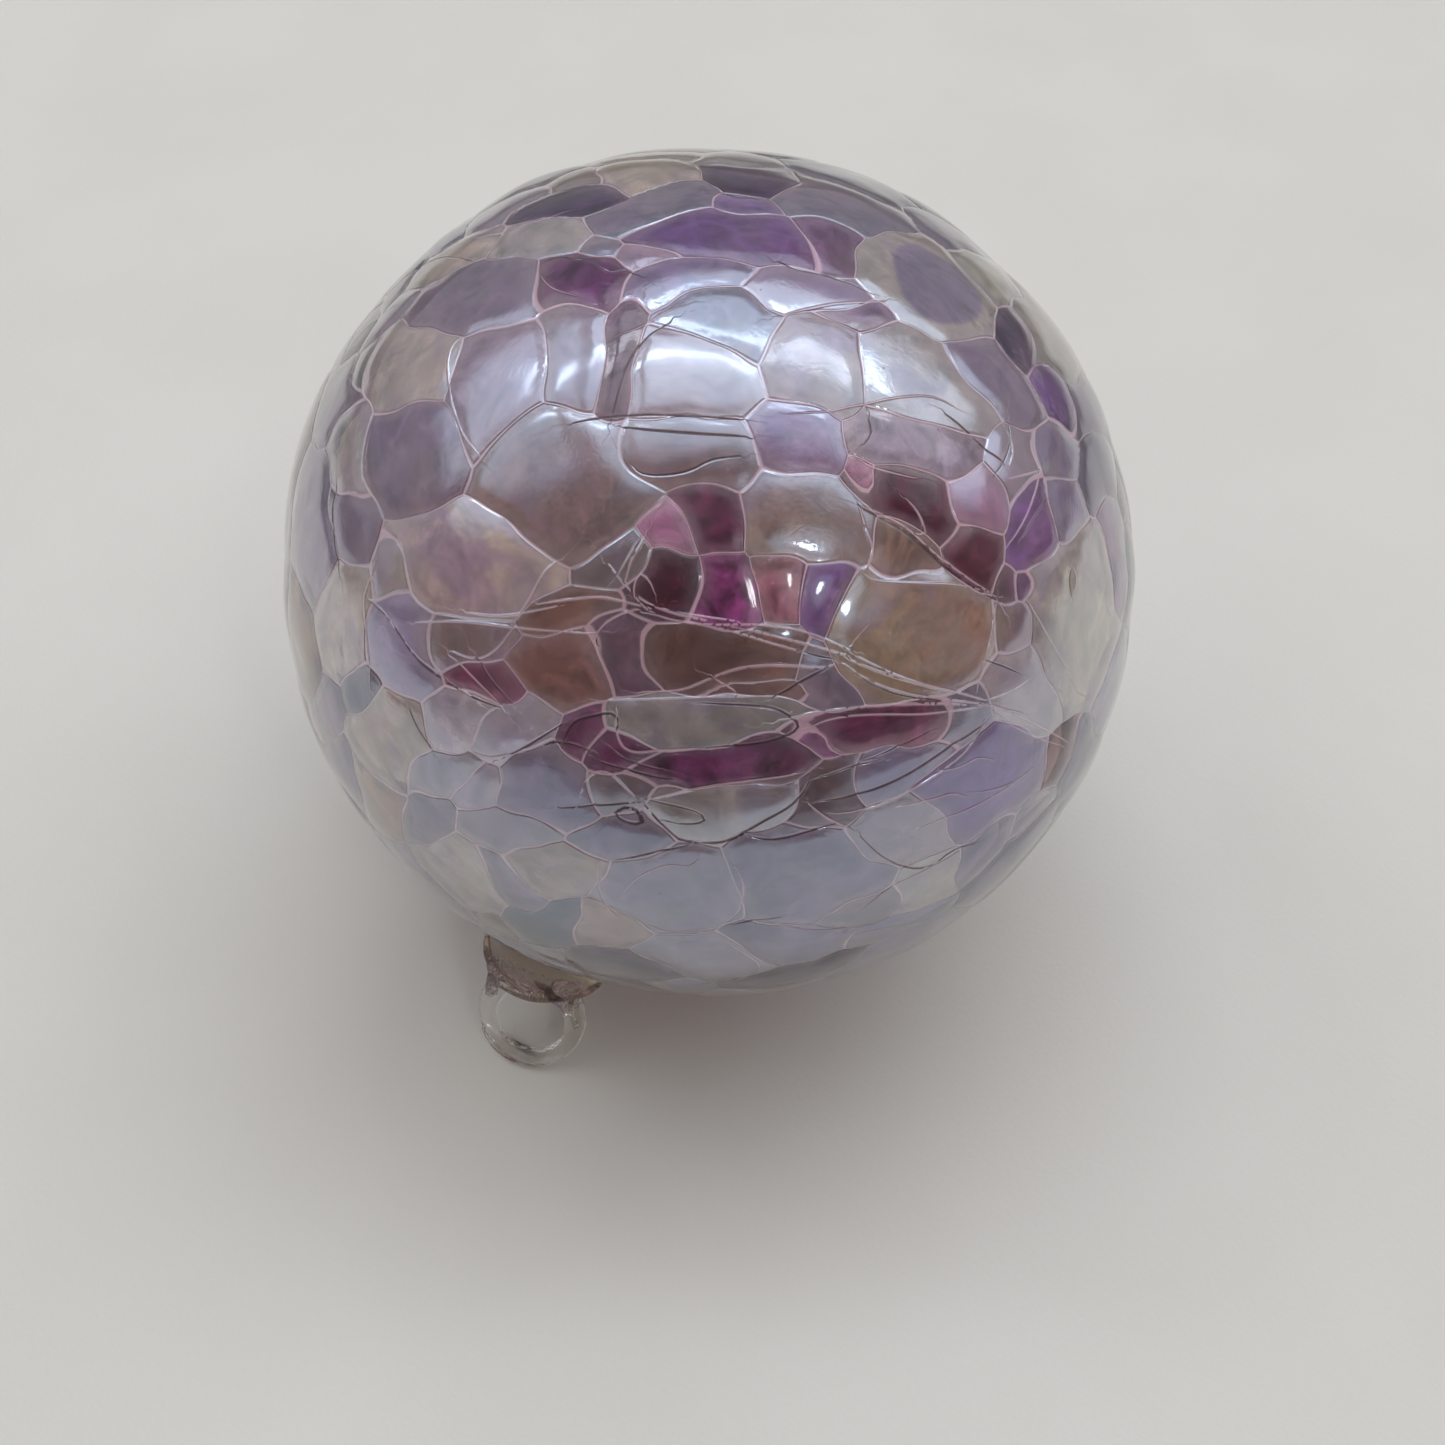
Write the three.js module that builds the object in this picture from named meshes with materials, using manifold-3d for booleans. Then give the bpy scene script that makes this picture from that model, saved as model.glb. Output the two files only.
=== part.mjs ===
// Hand-blown glass ball ornament with a clear glass hanging loop, lying on a surface.
//
// The ball is one blown bubble: a thin shell of mottled glass, open where it was
// cracked off the blowpipe. A bit of hot clear glass (the pad) seals that opening,
// and a trail pulled from the same bit is curled round into the hanging loop. The
// sheared-off end of the trail stays as a small nub beside the loop's foot.
//
// Row frame: millimetres, +Z up. The origin is the spot on the surface that the ball
// rests on, right under its centre. The loop points towards -Y and down, and its tip
// touches the same surface. X is the width of the loop.
//
// Inside the ball's own group, +Z is the pole axis (ball centre to loop tip), +X is
// the loop's width and the ball's centre is at 0.

import * as THREE from "three";
import { mergeVertices } from "three/addons/utils/BufferGeometryUtils.js";
import Module from "manifold-3d";

// ---- driving dimensions (mm) ----
const BALL_R = 50.0; // equator radius, across the pole axis
const BALL_R_POLE = 49.5; // the bubble is a little short along its pole axis
const WALL = 1.8; // blown wall
const PIPE_HOLE_R = 5.0; // opening left by the blowpipe
const LIP_RISE = 0.5; // the wall turns up a little at that opening

const GAP = 0.3; // between pieces that are fused in real life
const PAD_R = 10.8; // radius of the pad where it meets the ball
const PAD_TOP = 59.2; // height of the pad's crown above the ball's centre
const PLUG_R = 4.5; // hot glass sags into the pipe hole
const PLUG_DEPTH = 1.2;

const LOOP_CENTRE = 63.05; // loop's middle above the ball's centre
const LOOP_HALF_W = 6.0; // centreline, across
const LOOP_HALF_L = 5.55; // centreline, along the pole axis
const ROD_R_FOOT = 1.5; // rod radius beside the pad
const ROD_R_TIP = 1.05; // and at the tip, where it was pulled thin
const LOOP_TWIST = -15; // degrees that the loop is turned about the pole axis
const HANGER_LEAN = 5; // degrees that the hanger leans over to +X
const LEAN_FROM = 50; // height where the lean starts above the ball's centre

const NUB_R = 0.85; // sheared end of the trail

const rad = THREE.MathUtils.degToRad;

const wasm = await Module();
wasm.setup();

// ---- helpers ----
function solidOf(geometry) {
  const g = geometry.clone();
  for (const name of Object.keys(g.attributes))
    if (name !== "position") g.deleteAttribute(name);
  const m = mergeVertices(g, 1e-4);
  return new wasm.Manifold(
    new wasm.Mesh({
      numProp: 3,
      vertProperties: new Float32Array(m.attributes.position.array),
      triVerts: new Uint32Array(m.index.array),
    }),
  );
}

function geometryOf(solid) {
  const mesh = solid.getMesh();
  const g = new THREE.BufferGeometry();
  g.setAttribute(
    "position",
    new THREE.BufferAttribute(new Float32Array(mesh.vertProperties), 3),
  );
  g.setIndex(new THREE.BufferAttribute(new Uint32Array(mesh.triVerts), 1));
  g.computeVertexNormals();
  return g;
}

// A profile of [radius, height] pairs turned about +Z.
function turned(profile, segments) {
  const g = new THREE.LatheGeometry(
    profile.map(([r, z]) => new THREE.Vector2(r, z)),
    segments,
  );
  g.rotateX(Math.PI / 2);
  return g;
}

// The hanger leans over: fully above the pad's shoulder, not at all on the ball.
function leant(geometry) {
  const p = geometry.attributes.position;
  for (let i = 0; i < p.count; i++) {
    const h = p.getZ(i) - LEAN_FROM;
    const share = THREE.MathUtils.smoothstep(h, 1, 7);
    const angle = rad(HANGER_LEAN) * share;
    const x = p.getX(i);
    p.setX(i, x * Math.cos(angle) + h * Math.sin(angle));
    p.setZ(i, LEAN_FROM - x * Math.sin(angle) + h * Math.cos(angle));
  }
  return geometry;
}

const arc = (n, a, b, point) =>
  Array.from({ length: n + 1 }, (_, i) => point(a + ((b - a) * i) / n));

// ---- ball: outer skin from the far pole up to the lip, then the inner skin back ----
function ballShell() {
  const holeAngle = Math.asin(PIPE_HOLE_R / BALL_R);
  const outer = arc(30, 0, Math.PI - holeAngle - 0.05, (t) => [
    BALL_R * Math.sin(t),
    -BALL_R_POLE * Math.cos(t),
  ]);
  const rimZ = BALL_R_POLE * Math.cos(holeAngle);
  const innerR = BALL_R - WALL;
  const innerRp = BALL_R_POLE - WALL;
  const innerHole = Math.asin((PIPE_HOLE_R + 0.6) / innerR);
  const inner = arc(20, Math.PI - innerHole, 0, (t) => [
    innerR * Math.sin(t),
    -innerRp * Math.cos(t),
  ]);
  const profile = [
    ...outer,
    [PIPE_HOLE_R + 0.9, rimZ + LIP_RISE * 0.7],
    [PIPE_HOLE_R + 0.35, rimZ + LIP_RISE],
    [PIPE_HOLE_R, rimZ + LIP_RISE * 0.4],
    [PIPE_HOLE_R, rimZ - WALL * 0.6],
    ...inner,
  ];
  profile[0][0] = 0;
  profile[profile.length - 1][0] = 0;
  return turned(profile, 52);
}

// ---- pad: a dome that seals the pipe hole, hollowed to sit on the ball ----
function padProfile(grow) {
  const seat = (r) =>
    BALL_R_POLE * Math.sqrt(1 - (r / BALL_R) ** 2) + GAP - grow;
  const lipTop =
    BALL_R_POLE * Math.sqrt(1 - (PIPE_HOLE_R / BALL_R) ** 2) + LIP_RISE + GAP;
  const outside = [
    [PAD_R + grow, seat(PAD_R)],
    [PAD_R + 0.1 + grow, seat(PAD_R) + 0.8],
    [PAD_R - 0.5 + grow, seat(PAD_R) + 2.4],
    [9.7 + grow, 52.9],
    [9.2 + grow, 54.6],
    [8.6 + grow, 56.1],
    [7.7 + grow, 57.3],
    [6.3 + grow, 58.2 + grow * 0.6],
    [4.4 + grow * 0.6, 58.8 + grow],
    [2.2, PAD_TOP - 0.1 + grow],
    [0, PAD_TOP + grow],
  ];
  if (grow > 0) return [[0, 45], [PAD_R + grow, 45], ...outside];
  return [
    [0, lipTop - LIP_RISE - GAP - PLUG_DEPTH],
    [PLUG_R - 0.6, lipTop - LIP_RISE - GAP - PLUG_DEPTH + 0.1],
    [PLUG_R, lipTop - LIP_RISE - GAP - PLUG_DEPTH + 0.7],
    [PLUG_R, lipTop],
    [PIPE_HOLE_R + 1.3, lipTop],
    [PIPE_HOLE_R + 2.0, seat(PIPE_HOLE_R + 2.0) + 0.05],
    [PAD_R - 1.2, seat(PAD_R - 1.2) + 0.02],
    ...outside,
  ];
}
const padBody = () => leant(turned(padProfile(0), 48));
const padGrown = solidOf(leant(turned(padProfile(GAP), 48)));

// ---- loop: a rod swept round an oval, thick at its feet and thin at its tip ----
class Oval extends THREE.Curve {
  getPoint(t, target = new THREE.Vector3()) {
    const a = t * 2 * Math.PI + Math.PI; // starts down in the pad
    return target.set(
      LOOP_HALF_W * Math.sin(a),
      0,
      LOOP_CENTRE + LOOP_HALF_L * Math.cos(a),
    );
  }
}

function circle(r, sides) {
  const points = arc(sides, 0, 2 * Math.PI, (t) => [
    r * Math.cos(t),
    r * Math.sin(t),
  ]);
  points.pop();
  return new THREE.Shape(points.map(([x, y]) => new THREE.Vector2(x, y)));
}

function loopBody() {
  const steps = 64;
  const curve = new Oval();
  const nearly = new THREE.CatmullRomCurve3(
    arc(90, 0.02, 0.98, (t) => curve.getPoint(t)),
  );
  const g = new THREE.ExtrudeGeometry(circle(1, 14), {
    steps,
    bevelEnabled: false,
    extrudePath: nearly,
  });
  const p = g.attributes.position;
  const v = new THREE.Vector3();
  for (let i = 0; i < p.count; i++) {
    v.fromBufferAttribute(p, i);
    // the middle of the rod beside this vertex
    const a = Math.atan2(v.x / LOOP_HALF_W, (v.z - LOOP_CENTRE) / LOOP_HALF_L);
    const mid = new THREE.Vector3(
      LOOP_HALF_W * Math.sin(a),
      0,
      LOOP_CENTRE + LOOP_HALF_L * Math.cos(a),
    );
    const share = (1 - Math.cos(a)) / 2; // 0 at the tip, 1 at the pad
    const r = ROD_R_TIP + (ROD_R_FOOT - ROD_R_TIP) * Math.min(1, share * 1.6);
    v.sub(mid).multiplyScalar(r).add(mid);
    p.setXYZ(i, v.x, v.y, v.z);
  }
  g.rotateZ(rad(LOOP_TWIST));
  leant(g);
  const cut = solidOf(g).subtract(padGrown).decompose();
  cut.sort((a, b) => b.volume() - a.volume());
  return geometryOf(cut[0]);
}

// ---- trail end: the sheared nub, pressed onto the pad in front of the left foot ----
function trailEnd() {
  const from = new THREE.Vector3(-7.4, 3.3, 56.0);
  const to = new THREE.Vector3(-5.7, 4.2, 61.4);
  const along = to.clone().sub(from);
  const length = along.length();
  const profile = [
    [0, 0],
    [NUB_R * 0.8, 0.15],
    [NUB_R, 0.7],
    [NUB_R * 1.02, length * 0.45],
    [NUB_R * 0.9, length * 0.6],
    [NUB_R * 1.0, length * 0.75],
    [NUB_R * 0.95, length - 0.7],
    [NUB_R * 0.6, length - 0.15],
    [0, length],
  ];
  const g = turned(profile, 16);
  g.applyQuaternion(
    new THREE.Quaternion().setFromUnitVectors(
      new THREE.Vector3(0, 0, 1),
      along.clone().normalize(),
    ),
  );
  g.translate(from.x, from.y, from.z);
  leant(g);
  const cut = solidOf(g).subtract(padGrown).decompose();
  cut.sort((a, b) => b.volume() - a.volume());
  return geometryOf(cut[0]);
}

// ---- finishes ----
const mottledGlass = new THREE.MeshStandardMaterial({
  color: 0x9a86ad,
  roughness: 0.08,
  metalness: 0.0,
  transparent: true,
  opacity: 0.75,
});
const clearGlass = new THREE.MeshStandardMaterial({
  color: 0xe9e6de,
  roughness: 0.03,
  metalness: 0.0,
  transparent: true,
  opacity: 0.35,
});

function piece(name, geometry, material) {
  const mesh = new THREE.Mesh(geometry, material);
  mesh.name = name;
  return mesh;
}

// The ball rolls down onto its loop until ball and tip both touch the surface.
function restAngle() {
  const lean = rad(HANGER_LEAN);
  const tip =
    LEAN_FROM +
    (LOOP_CENTRE + LOOP_HALF_L - LEAN_FROM) * Math.cos(lean);
  let a = Math.PI / 4;
  for (let i = 0; i < 40; i++) {
    const centreZ = Math.hypot(BALL_R * Math.cos(a), BALL_R_POLE * Math.sin(a));
    a = Math.asin((centreZ - ROD_R_TIP - 0.06) / tip);
  }
  return a;
}
const below = restAngle(); // pole axis below the horizontal
const centreZ = Math.hypot(
  BALL_R * Math.cos(below),
  BALL_R_POLE * Math.sin(below),
);

const ornament = new THREE.Group();
ornament.add(piece("ball_shell", ballShell(), mottledGlass));
ornament.add(piece("hanger_pad", padBody(), clearGlass));
ornament.add(piece("hanger_loop", loopBody(), clearGlass));
ornament.add(piece("trail_end", trailEnd(), clearGlass));
ornament.rotation.x = Math.PI / 2 + below;
ornament.position.z = centreZ + 0.03;

const root = new THREE.Group();
root.add(ornament);

export default root;
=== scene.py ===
# A hand-blown glass ball ornament with a clear glass hanging loop, lying on a pale surface.
#
# The ball's wall is one bubble of clear glass with coloured chips fused into it, under a
# pearly lustre. Its outer skin is a fine mesh: every chip swells a little, and the chips
# meet in narrow valleys. Each face carries its distances to the three nearest chips, so
# that the material draws the seams between chips sharply.

import math

import bpy
import numpy as np
from mathutils import Matrix, Vector


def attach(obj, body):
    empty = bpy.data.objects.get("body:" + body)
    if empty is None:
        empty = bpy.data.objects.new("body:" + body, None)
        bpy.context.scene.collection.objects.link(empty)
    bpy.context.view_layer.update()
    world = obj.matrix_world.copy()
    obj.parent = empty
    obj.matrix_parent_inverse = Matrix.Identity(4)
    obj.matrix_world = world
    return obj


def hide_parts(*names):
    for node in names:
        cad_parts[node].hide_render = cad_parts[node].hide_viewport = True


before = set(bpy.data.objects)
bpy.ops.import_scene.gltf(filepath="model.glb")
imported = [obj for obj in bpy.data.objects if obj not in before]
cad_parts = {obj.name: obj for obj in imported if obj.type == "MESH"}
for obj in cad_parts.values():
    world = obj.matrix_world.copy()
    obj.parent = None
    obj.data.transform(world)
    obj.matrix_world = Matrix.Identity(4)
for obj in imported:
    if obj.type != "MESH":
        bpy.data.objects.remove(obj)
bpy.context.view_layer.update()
MM = 0.001

# ---------------------------------------------------------------- the ball's own frame
BALL_R = 50.0  # mm, across the pole axis
BALL_R_POLE = 49.5
WALL = 1.8
LEAN_FROM = 50.0  # the hanger's lean starts here, above the ball's centre
HANGER_LEAN = math.radians(5)
LOOP_CENTRE = 63.05
LOOP_HALF_W = 6.0
LOOP_HALF_L = 5.55
LOOP_TWIST = math.radians(-15)
ROD_R_FOOT = 1.5
ROD_R_TIP = 1.05


def rest():
    tip = LEAN_FROM + (LOOP_CENTRE + LOOP_HALF_L - LEAN_FROM) * math.cos(HANGER_LEAN)
    a = math.pi / 4
    for _ in range(60):
        centre = math.hypot(BALL_R * math.cos(a), BALL_R_POLE * math.sin(a))
        a = math.asin((centre - ROD_R_TIP - 0.06) / tip)
    return a, centre + 0.03


BELOW, CENTRE_Z = rest()
CENTRE = np.array([0.0, 0.0, CENTRE_Z])
POLE = np.array([0.0, -math.cos(BELOW), -math.sin(BELOW)])
SIDE = np.array([0.0, -math.sin(BELOW), math.cos(BELOW)])  # local +Y of the ball
TO_ROW = np.stack([np.array([1.0, 0.0, 0.0]), SIDE, POLE], axis=1)


def to_row(p):
    """Points in the ball's own frame (mm, +Z the pole axis) to the row frame (mm)."""
    return np.asarray(p, float) @ TO_ROW.T + CENTRE


def leant(p):
    """The hanger leans over: fully above the pad's shoulder, not at all on the ball."""
    p = np.array(p, float)
    h = p[:, 2] - LEAN_FROM
    t = np.clip((h - 1) / 6, 0, 1)
    a = HANGER_LEAN * t * t * (3 - 2 * t)
    x = p[:, 0].copy()
    p[:, 0] = x * np.cos(a) + h * np.sin(a)
    p[:, 2] = LEAN_FROM - x * np.sin(a) + h * np.cos(a)
    return p


# ---------------------------------------------------------------- camera
CAM_AZ = math.radians(34.8)
CAM_EL = math.radians(50.0)
CAM_D = 177.7
yaw = CAM_AZ - math.radians(0.79)
dip = math.radians(55.51)
cam_at = CENTRE + CAM_D * np.array(
    [math.sin(CAM_AZ) * math.cos(CAM_EL), -math.cos(CAM_AZ) * math.cos(CAM_EL), math.sin(CAM_EL)]
)
fwd = Vector((-math.sin(yaw) * math.cos(dip), math.cos(yaw) * math.cos(dip), -math.sin(dip)))
right = Vector((math.cos(yaw), math.sin(yaw), 0.0))
up = right.cross(fwd)
cam_data = bpy.data.cameras.new("camera")
cam_data.sensor_width = 36.0
cam_data.lens = 36.0
cam_data.clip_start = 0.005
camera = bpy.data.objects.new("camera", cam_data)
bpy.context.scene.collection.objects.link(camera)
rot = Matrix((right, up, -fwd)).transposed()
camera.matrix_world = Matrix.Translation(Vector(cam_at) * MM) @ rot.to_4x4()
bpy.context.scene.camera = camera

# ---------------------------------------------------------------- node helpers
class Graph:
    """Small helpers that add nodes and link them."""

    def __init__(self, tree):
        self.t = tree
        tree.nodes.clear()

    def node(self, kind, **props):
        n = self.t.nodes.new(kind)
        for k, v in props.items():
            setattr(n, k, v)
        return n

    def put(self, socket, value):
        if value is None:
            return
        if hasattr(value, "is_output"):
            self.t.links.new(value, socket)
        else:
            socket.default_value = value

    def math(self, op, a, b=None, c=None, clamp=False):
        n = self.node("ShaderNodeMath", operation=op, use_clamp=clamp)
        for s, v in zip(n.inputs, (a, b, c)):
            self.put(s, v)
        return n.outputs[0]

    def vec(self, op, a, b=None, scale=None):
        n = self.node("ShaderNodeVectorMath", operation=op)
        self.put(n.inputs[0], a)
        if b is not None:
            self.put(n.inputs[1], b)
        if scale is not None:
            self.put(n.inputs["Scale"], scale)
        return n.outputs["Value"] if op in ("DOT_PRODUCT", "LENGTH", "DISTANCE") else n.outputs[0]

    def ramp(self, v, lo, hi, a=0.0, b=1.0, smooth=True):
        n = self.node("ShaderNodeMapRange", interpolation_type="SMOOTHSTEP" if smooth else "LINEAR", clamp=True)
        for name, x in (("Value", v), ("From Min", lo), ("From Max", hi), ("To Min", a), ("To Max", b)):
            self.put(n.inputs[name], x)
        return n.outputs["Result"]

    def mix(self, f, a, b, blend="MIX"):
        n = self.node("ShaderNodeMix", data_type="RGBA", blend_type=blend)
        self.put(n.inputs[0], f)
        self.put(n.inputs[6], a)
        self.put(n.inputs[7], b)
        return n.outputs[2]

    def attr(self, name):
        return self.node("ShaderNodeAttribute", attribute_name=name)

    def split(self, v):
        n = self.node("ShaderNodeSeparateXYZ")
        self.put(n.inputs[0], v)
        return n.outputs

    def noise(self, where, scale, detail=2.0, rough=0.5, distort=0.0):
        n = self.node("ShaderNodeTexNoise")
        self.put(n.inputs["Vector"], where)
        n.inputs["Scale"].default_value = scale
        n.inputs["Detail"].default_value = detail
        n.inputs["Roughness"].default_value = rough
        n.inputs["Distortion"].default_value = distort
        return n.outputs["Fac"]


def material(name):
    m = bpy.data.materials.new(name)
    m.use_nodes = True
    g = Graph(m.node_tree)
    out = g.node("ShaderNodeOutputMaterial")
    p = g.node("ShaderNodeBsdfPrincipled")
    g.t.links.new(p.outputs[0], out.inputs[0])
    return m, g, p

# ---------------------------------------------------------------- chips
# Each chip: longitude and latitude of its middle seen from the ball's centre (row frame,
# degrees), half length and half width (mm), turn of its long side from east (degrees),
# and its colour.
CHIPS = """
-145.0 62.3 8.3 4.6 61 lav
-134.2 54.1 8.6 4.4 37 clear
-161.7 70.9 5.7 3.2 81 clear
-132.8 75.7 4.7 3.6 54 plumv
-149.5 78.3 2.6 1.5 84 lav
-135.1 84.1 2.9 1.4 69 pinkl
57.0 86.6 9.3 4.0 63 violet
156.2 80.7 5.5 3.5 14 lav
146.1 70.3 6.1 4.5 124 cream
177.3 68.7 4.7 3.2 113 vdark
104.4 74.3 4.2 4.1 44 vdark
94.3 81.3 3.3 1.6 21 violp
71.6 69.5 6.6 6.2 48 lav
115.8 66.2 3.9 2.8 53 clear
86.6 57.5 8.9 6.3 123 lav
139.1 64.9 6.7 2.8 147 cream
34.5 63.5 8.7 7.1 145 lavc
50.9 52.7 6.7 4.5 138 clear
63.6 52.9 5.9 4.3 112 lav
34.4 49.8 4.6 4.0 129 vdark
16.2 55.0 5.6 4.2 123 lav
28.1 42.5 5.1 3.3 111 violet
49.0 37.3 16.5 6.7 132 clear
40.8 30.3 16.3 4.4 132 lav
-45.3 77.0 4.7 4.5 134 bluep
-59.6 71.9 6.3 4.2 167 pale
-87.3 73.1 5.7 1.6 106 dim
-99.9 69.5 5.4 2.9 139 lavp
-112.5 61.7 7.0 4.5 153 lavp
-115.0 49.7 6.2 5.0 19 lav
-84.0 57.0 8.1 6.3 8 greyp
-60.1 62.8 6.4 3.3 3 greyp
-32.6 63.0 4.0 3.2 159 violp
-18.6 69.9 5.2 4.5 22 glint
6.5 70.8 4.0 1.9 126 dim2
2.3 78.1 5.6 2.6 117 palev
-73.1 84.4 5.5 2.6 24 violp
3.1 61.7 7.7 5.1 109 clear
-10.2 58.2 6.7 3.4 138 dim2
5.3 46.7 3.8 2.8 4 lavp
0.7 40.8 4.4 3.8 19 violet
15.5 42.8 5.4 2.5 143 lav
8.6 37.8 4.1 3.3 4 lav
2.6 25.9 11.2 8.7 110 clear
25.8 32.6 6.7 4.0 154 lavd
16.1 24.2 6.3 4.1 47 lavp
-18.9 52.4 5.4 3.1 125 plum2
-23.7 56.7 2.3 1.2 71 pink
-11.4 43.7 3.4 3.3 2 plum2
-5.8 47.8 3.2 2.0 151 pinkl
-8.3 37.9 1.7 1.5 29 dusk
-5.4 36.4 1.8 1.4 149 vdark
-23.6 48.3 4.3 2.4 130 strawd
-24.8 39.8 9.0 5.8 148 straw
-10.8 33.7 3.1 2.7 106 greyp
-11.2 25.9 7.0 4.2 130 pale
-38.0 55.2 5.9 4.1 143 greyp
-63.8 54.3 2.5 2.1 5 pink
-55.0 56.4 3.7 3.3 180 plum
-62.4 49.5 3.0 2.9 88 plum2
-53.6 49.1 4.0 3.9 88 magenta
-44.3 48.5 3.9 2.2 82 pinkb
-38.2 46.6 3.0 2.9 98 violet
-54.1 43.0 9.6 2.8 176 brown
-95.7 45.8 10.3 4.7 23 cream
-74.3 45.5 4.3 1.2 24 brown
-75.8 39.2 4.7 3.3 21 brown
-70.0 51.5 2.7 2.3 10 greyp
-91.0 37.4 5.6 2.0 36 greyp
-86.7 34.0 4.4 1.9 175 plum
-99.2 31.7 5.2 4.7 151 palev
-129.0 41.2 7.0 2.7 3 clear
-118.5 38.2 4.1 3.4 178 lav
-127.9 31.2 8.1 4.8 165 lavp
-111.7 28.5 6.7 4.5 86 clear
-121.3 15.0 6.4 4.6 106 straw
-89.0 29.5 5.2 3.0 36 lilac2
-98.5 20.0 7.4 4.4 58 clear
-89.7 20.4 5.8 2.8 47 slatel
-84.1 20.9 3.7 2.4 67 lilac
-79.9 30.5 4.5 2.3 42 lilac2
-70.8 32.9 2.4 2.0 76 plum
-66.8 31.4 2.3 1.8 20 plum
-75.5 24.7 5.5 4.2 50 slatel
-67.7 26.9 2.7 1.7 17 greyp
-66.3 21.3 5.3 3.0 24 slatel
-54.0 25.4 7.6 3.3 8 clear
-55.1 35.5 8.3 2.5 179 clear
-54.0 30.3 8.4 2.0 4 plum
-47.0 39.5 4.5 1.0 172 brown
-33.7 31.8 9.2 2.4 168 plum
-41.6 32.5 2.7 1.9 161 magenta
-33.2 26.5 8.4 2.4 1 palev
-18.3 17.1 9.6 5.3 140 violp
-33.0 18.3 6.4 3.5 158 pale
-45.1 14.6 7.6 6.0 121 slatel
-60.4 13.1 7.0 5.6 19 slatel
-73.8 13.1 5.2 3.2 41 cream
-80.2 16.8 5.7 2.8 36 lavp
-87.9 2.6 7.9 5.0 60 cream
-91.8 10.9 5.9 3.4 57 lav
-100.8 7.5 6.0 4.6 77 straw
-79.1 7.9 3.7 3.0 100 lavp
-77.5 -0.7 7.2 3.4 64 slate
-67.6 4.1 5.0 3.0 24 cream
-66.9 -6.4 6.4 4.6 25 dusk2
-56.3 -0.4 6.0 4.7 130 lavp
-45.6 1.7 7.6 3.2 155 slatel
-44.9 -9.4 6.8 3.9 18 dusk
-29.2 4.6 4.6 4.1 26 clear
-32.2 -2.1 5.4 2.8 0 lav
-15.8 -3.3 6.8 6.5 115 lavd
1.1 1.7 13.3 5.1 123 lavd
8.2 8.5 10.2 5.4 122 pale
-105.1 22.4 3.2 2.0 67 slate
-112.4 10.8 7.1 3.6 62 lavp
-109.0 4.9 8.3 3.8 50 lav
-146.1 37.6 7.2 4.7 35 lavp
-154.1 48.1 3.5 3.5 167 lavp
-163.3 55.9 6.2 3.9 92 cream
177.4 59.1 4.8 4.0 135 lavp
-95.3 -8.0 8.1 5.9 98 lavp
"""

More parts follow.
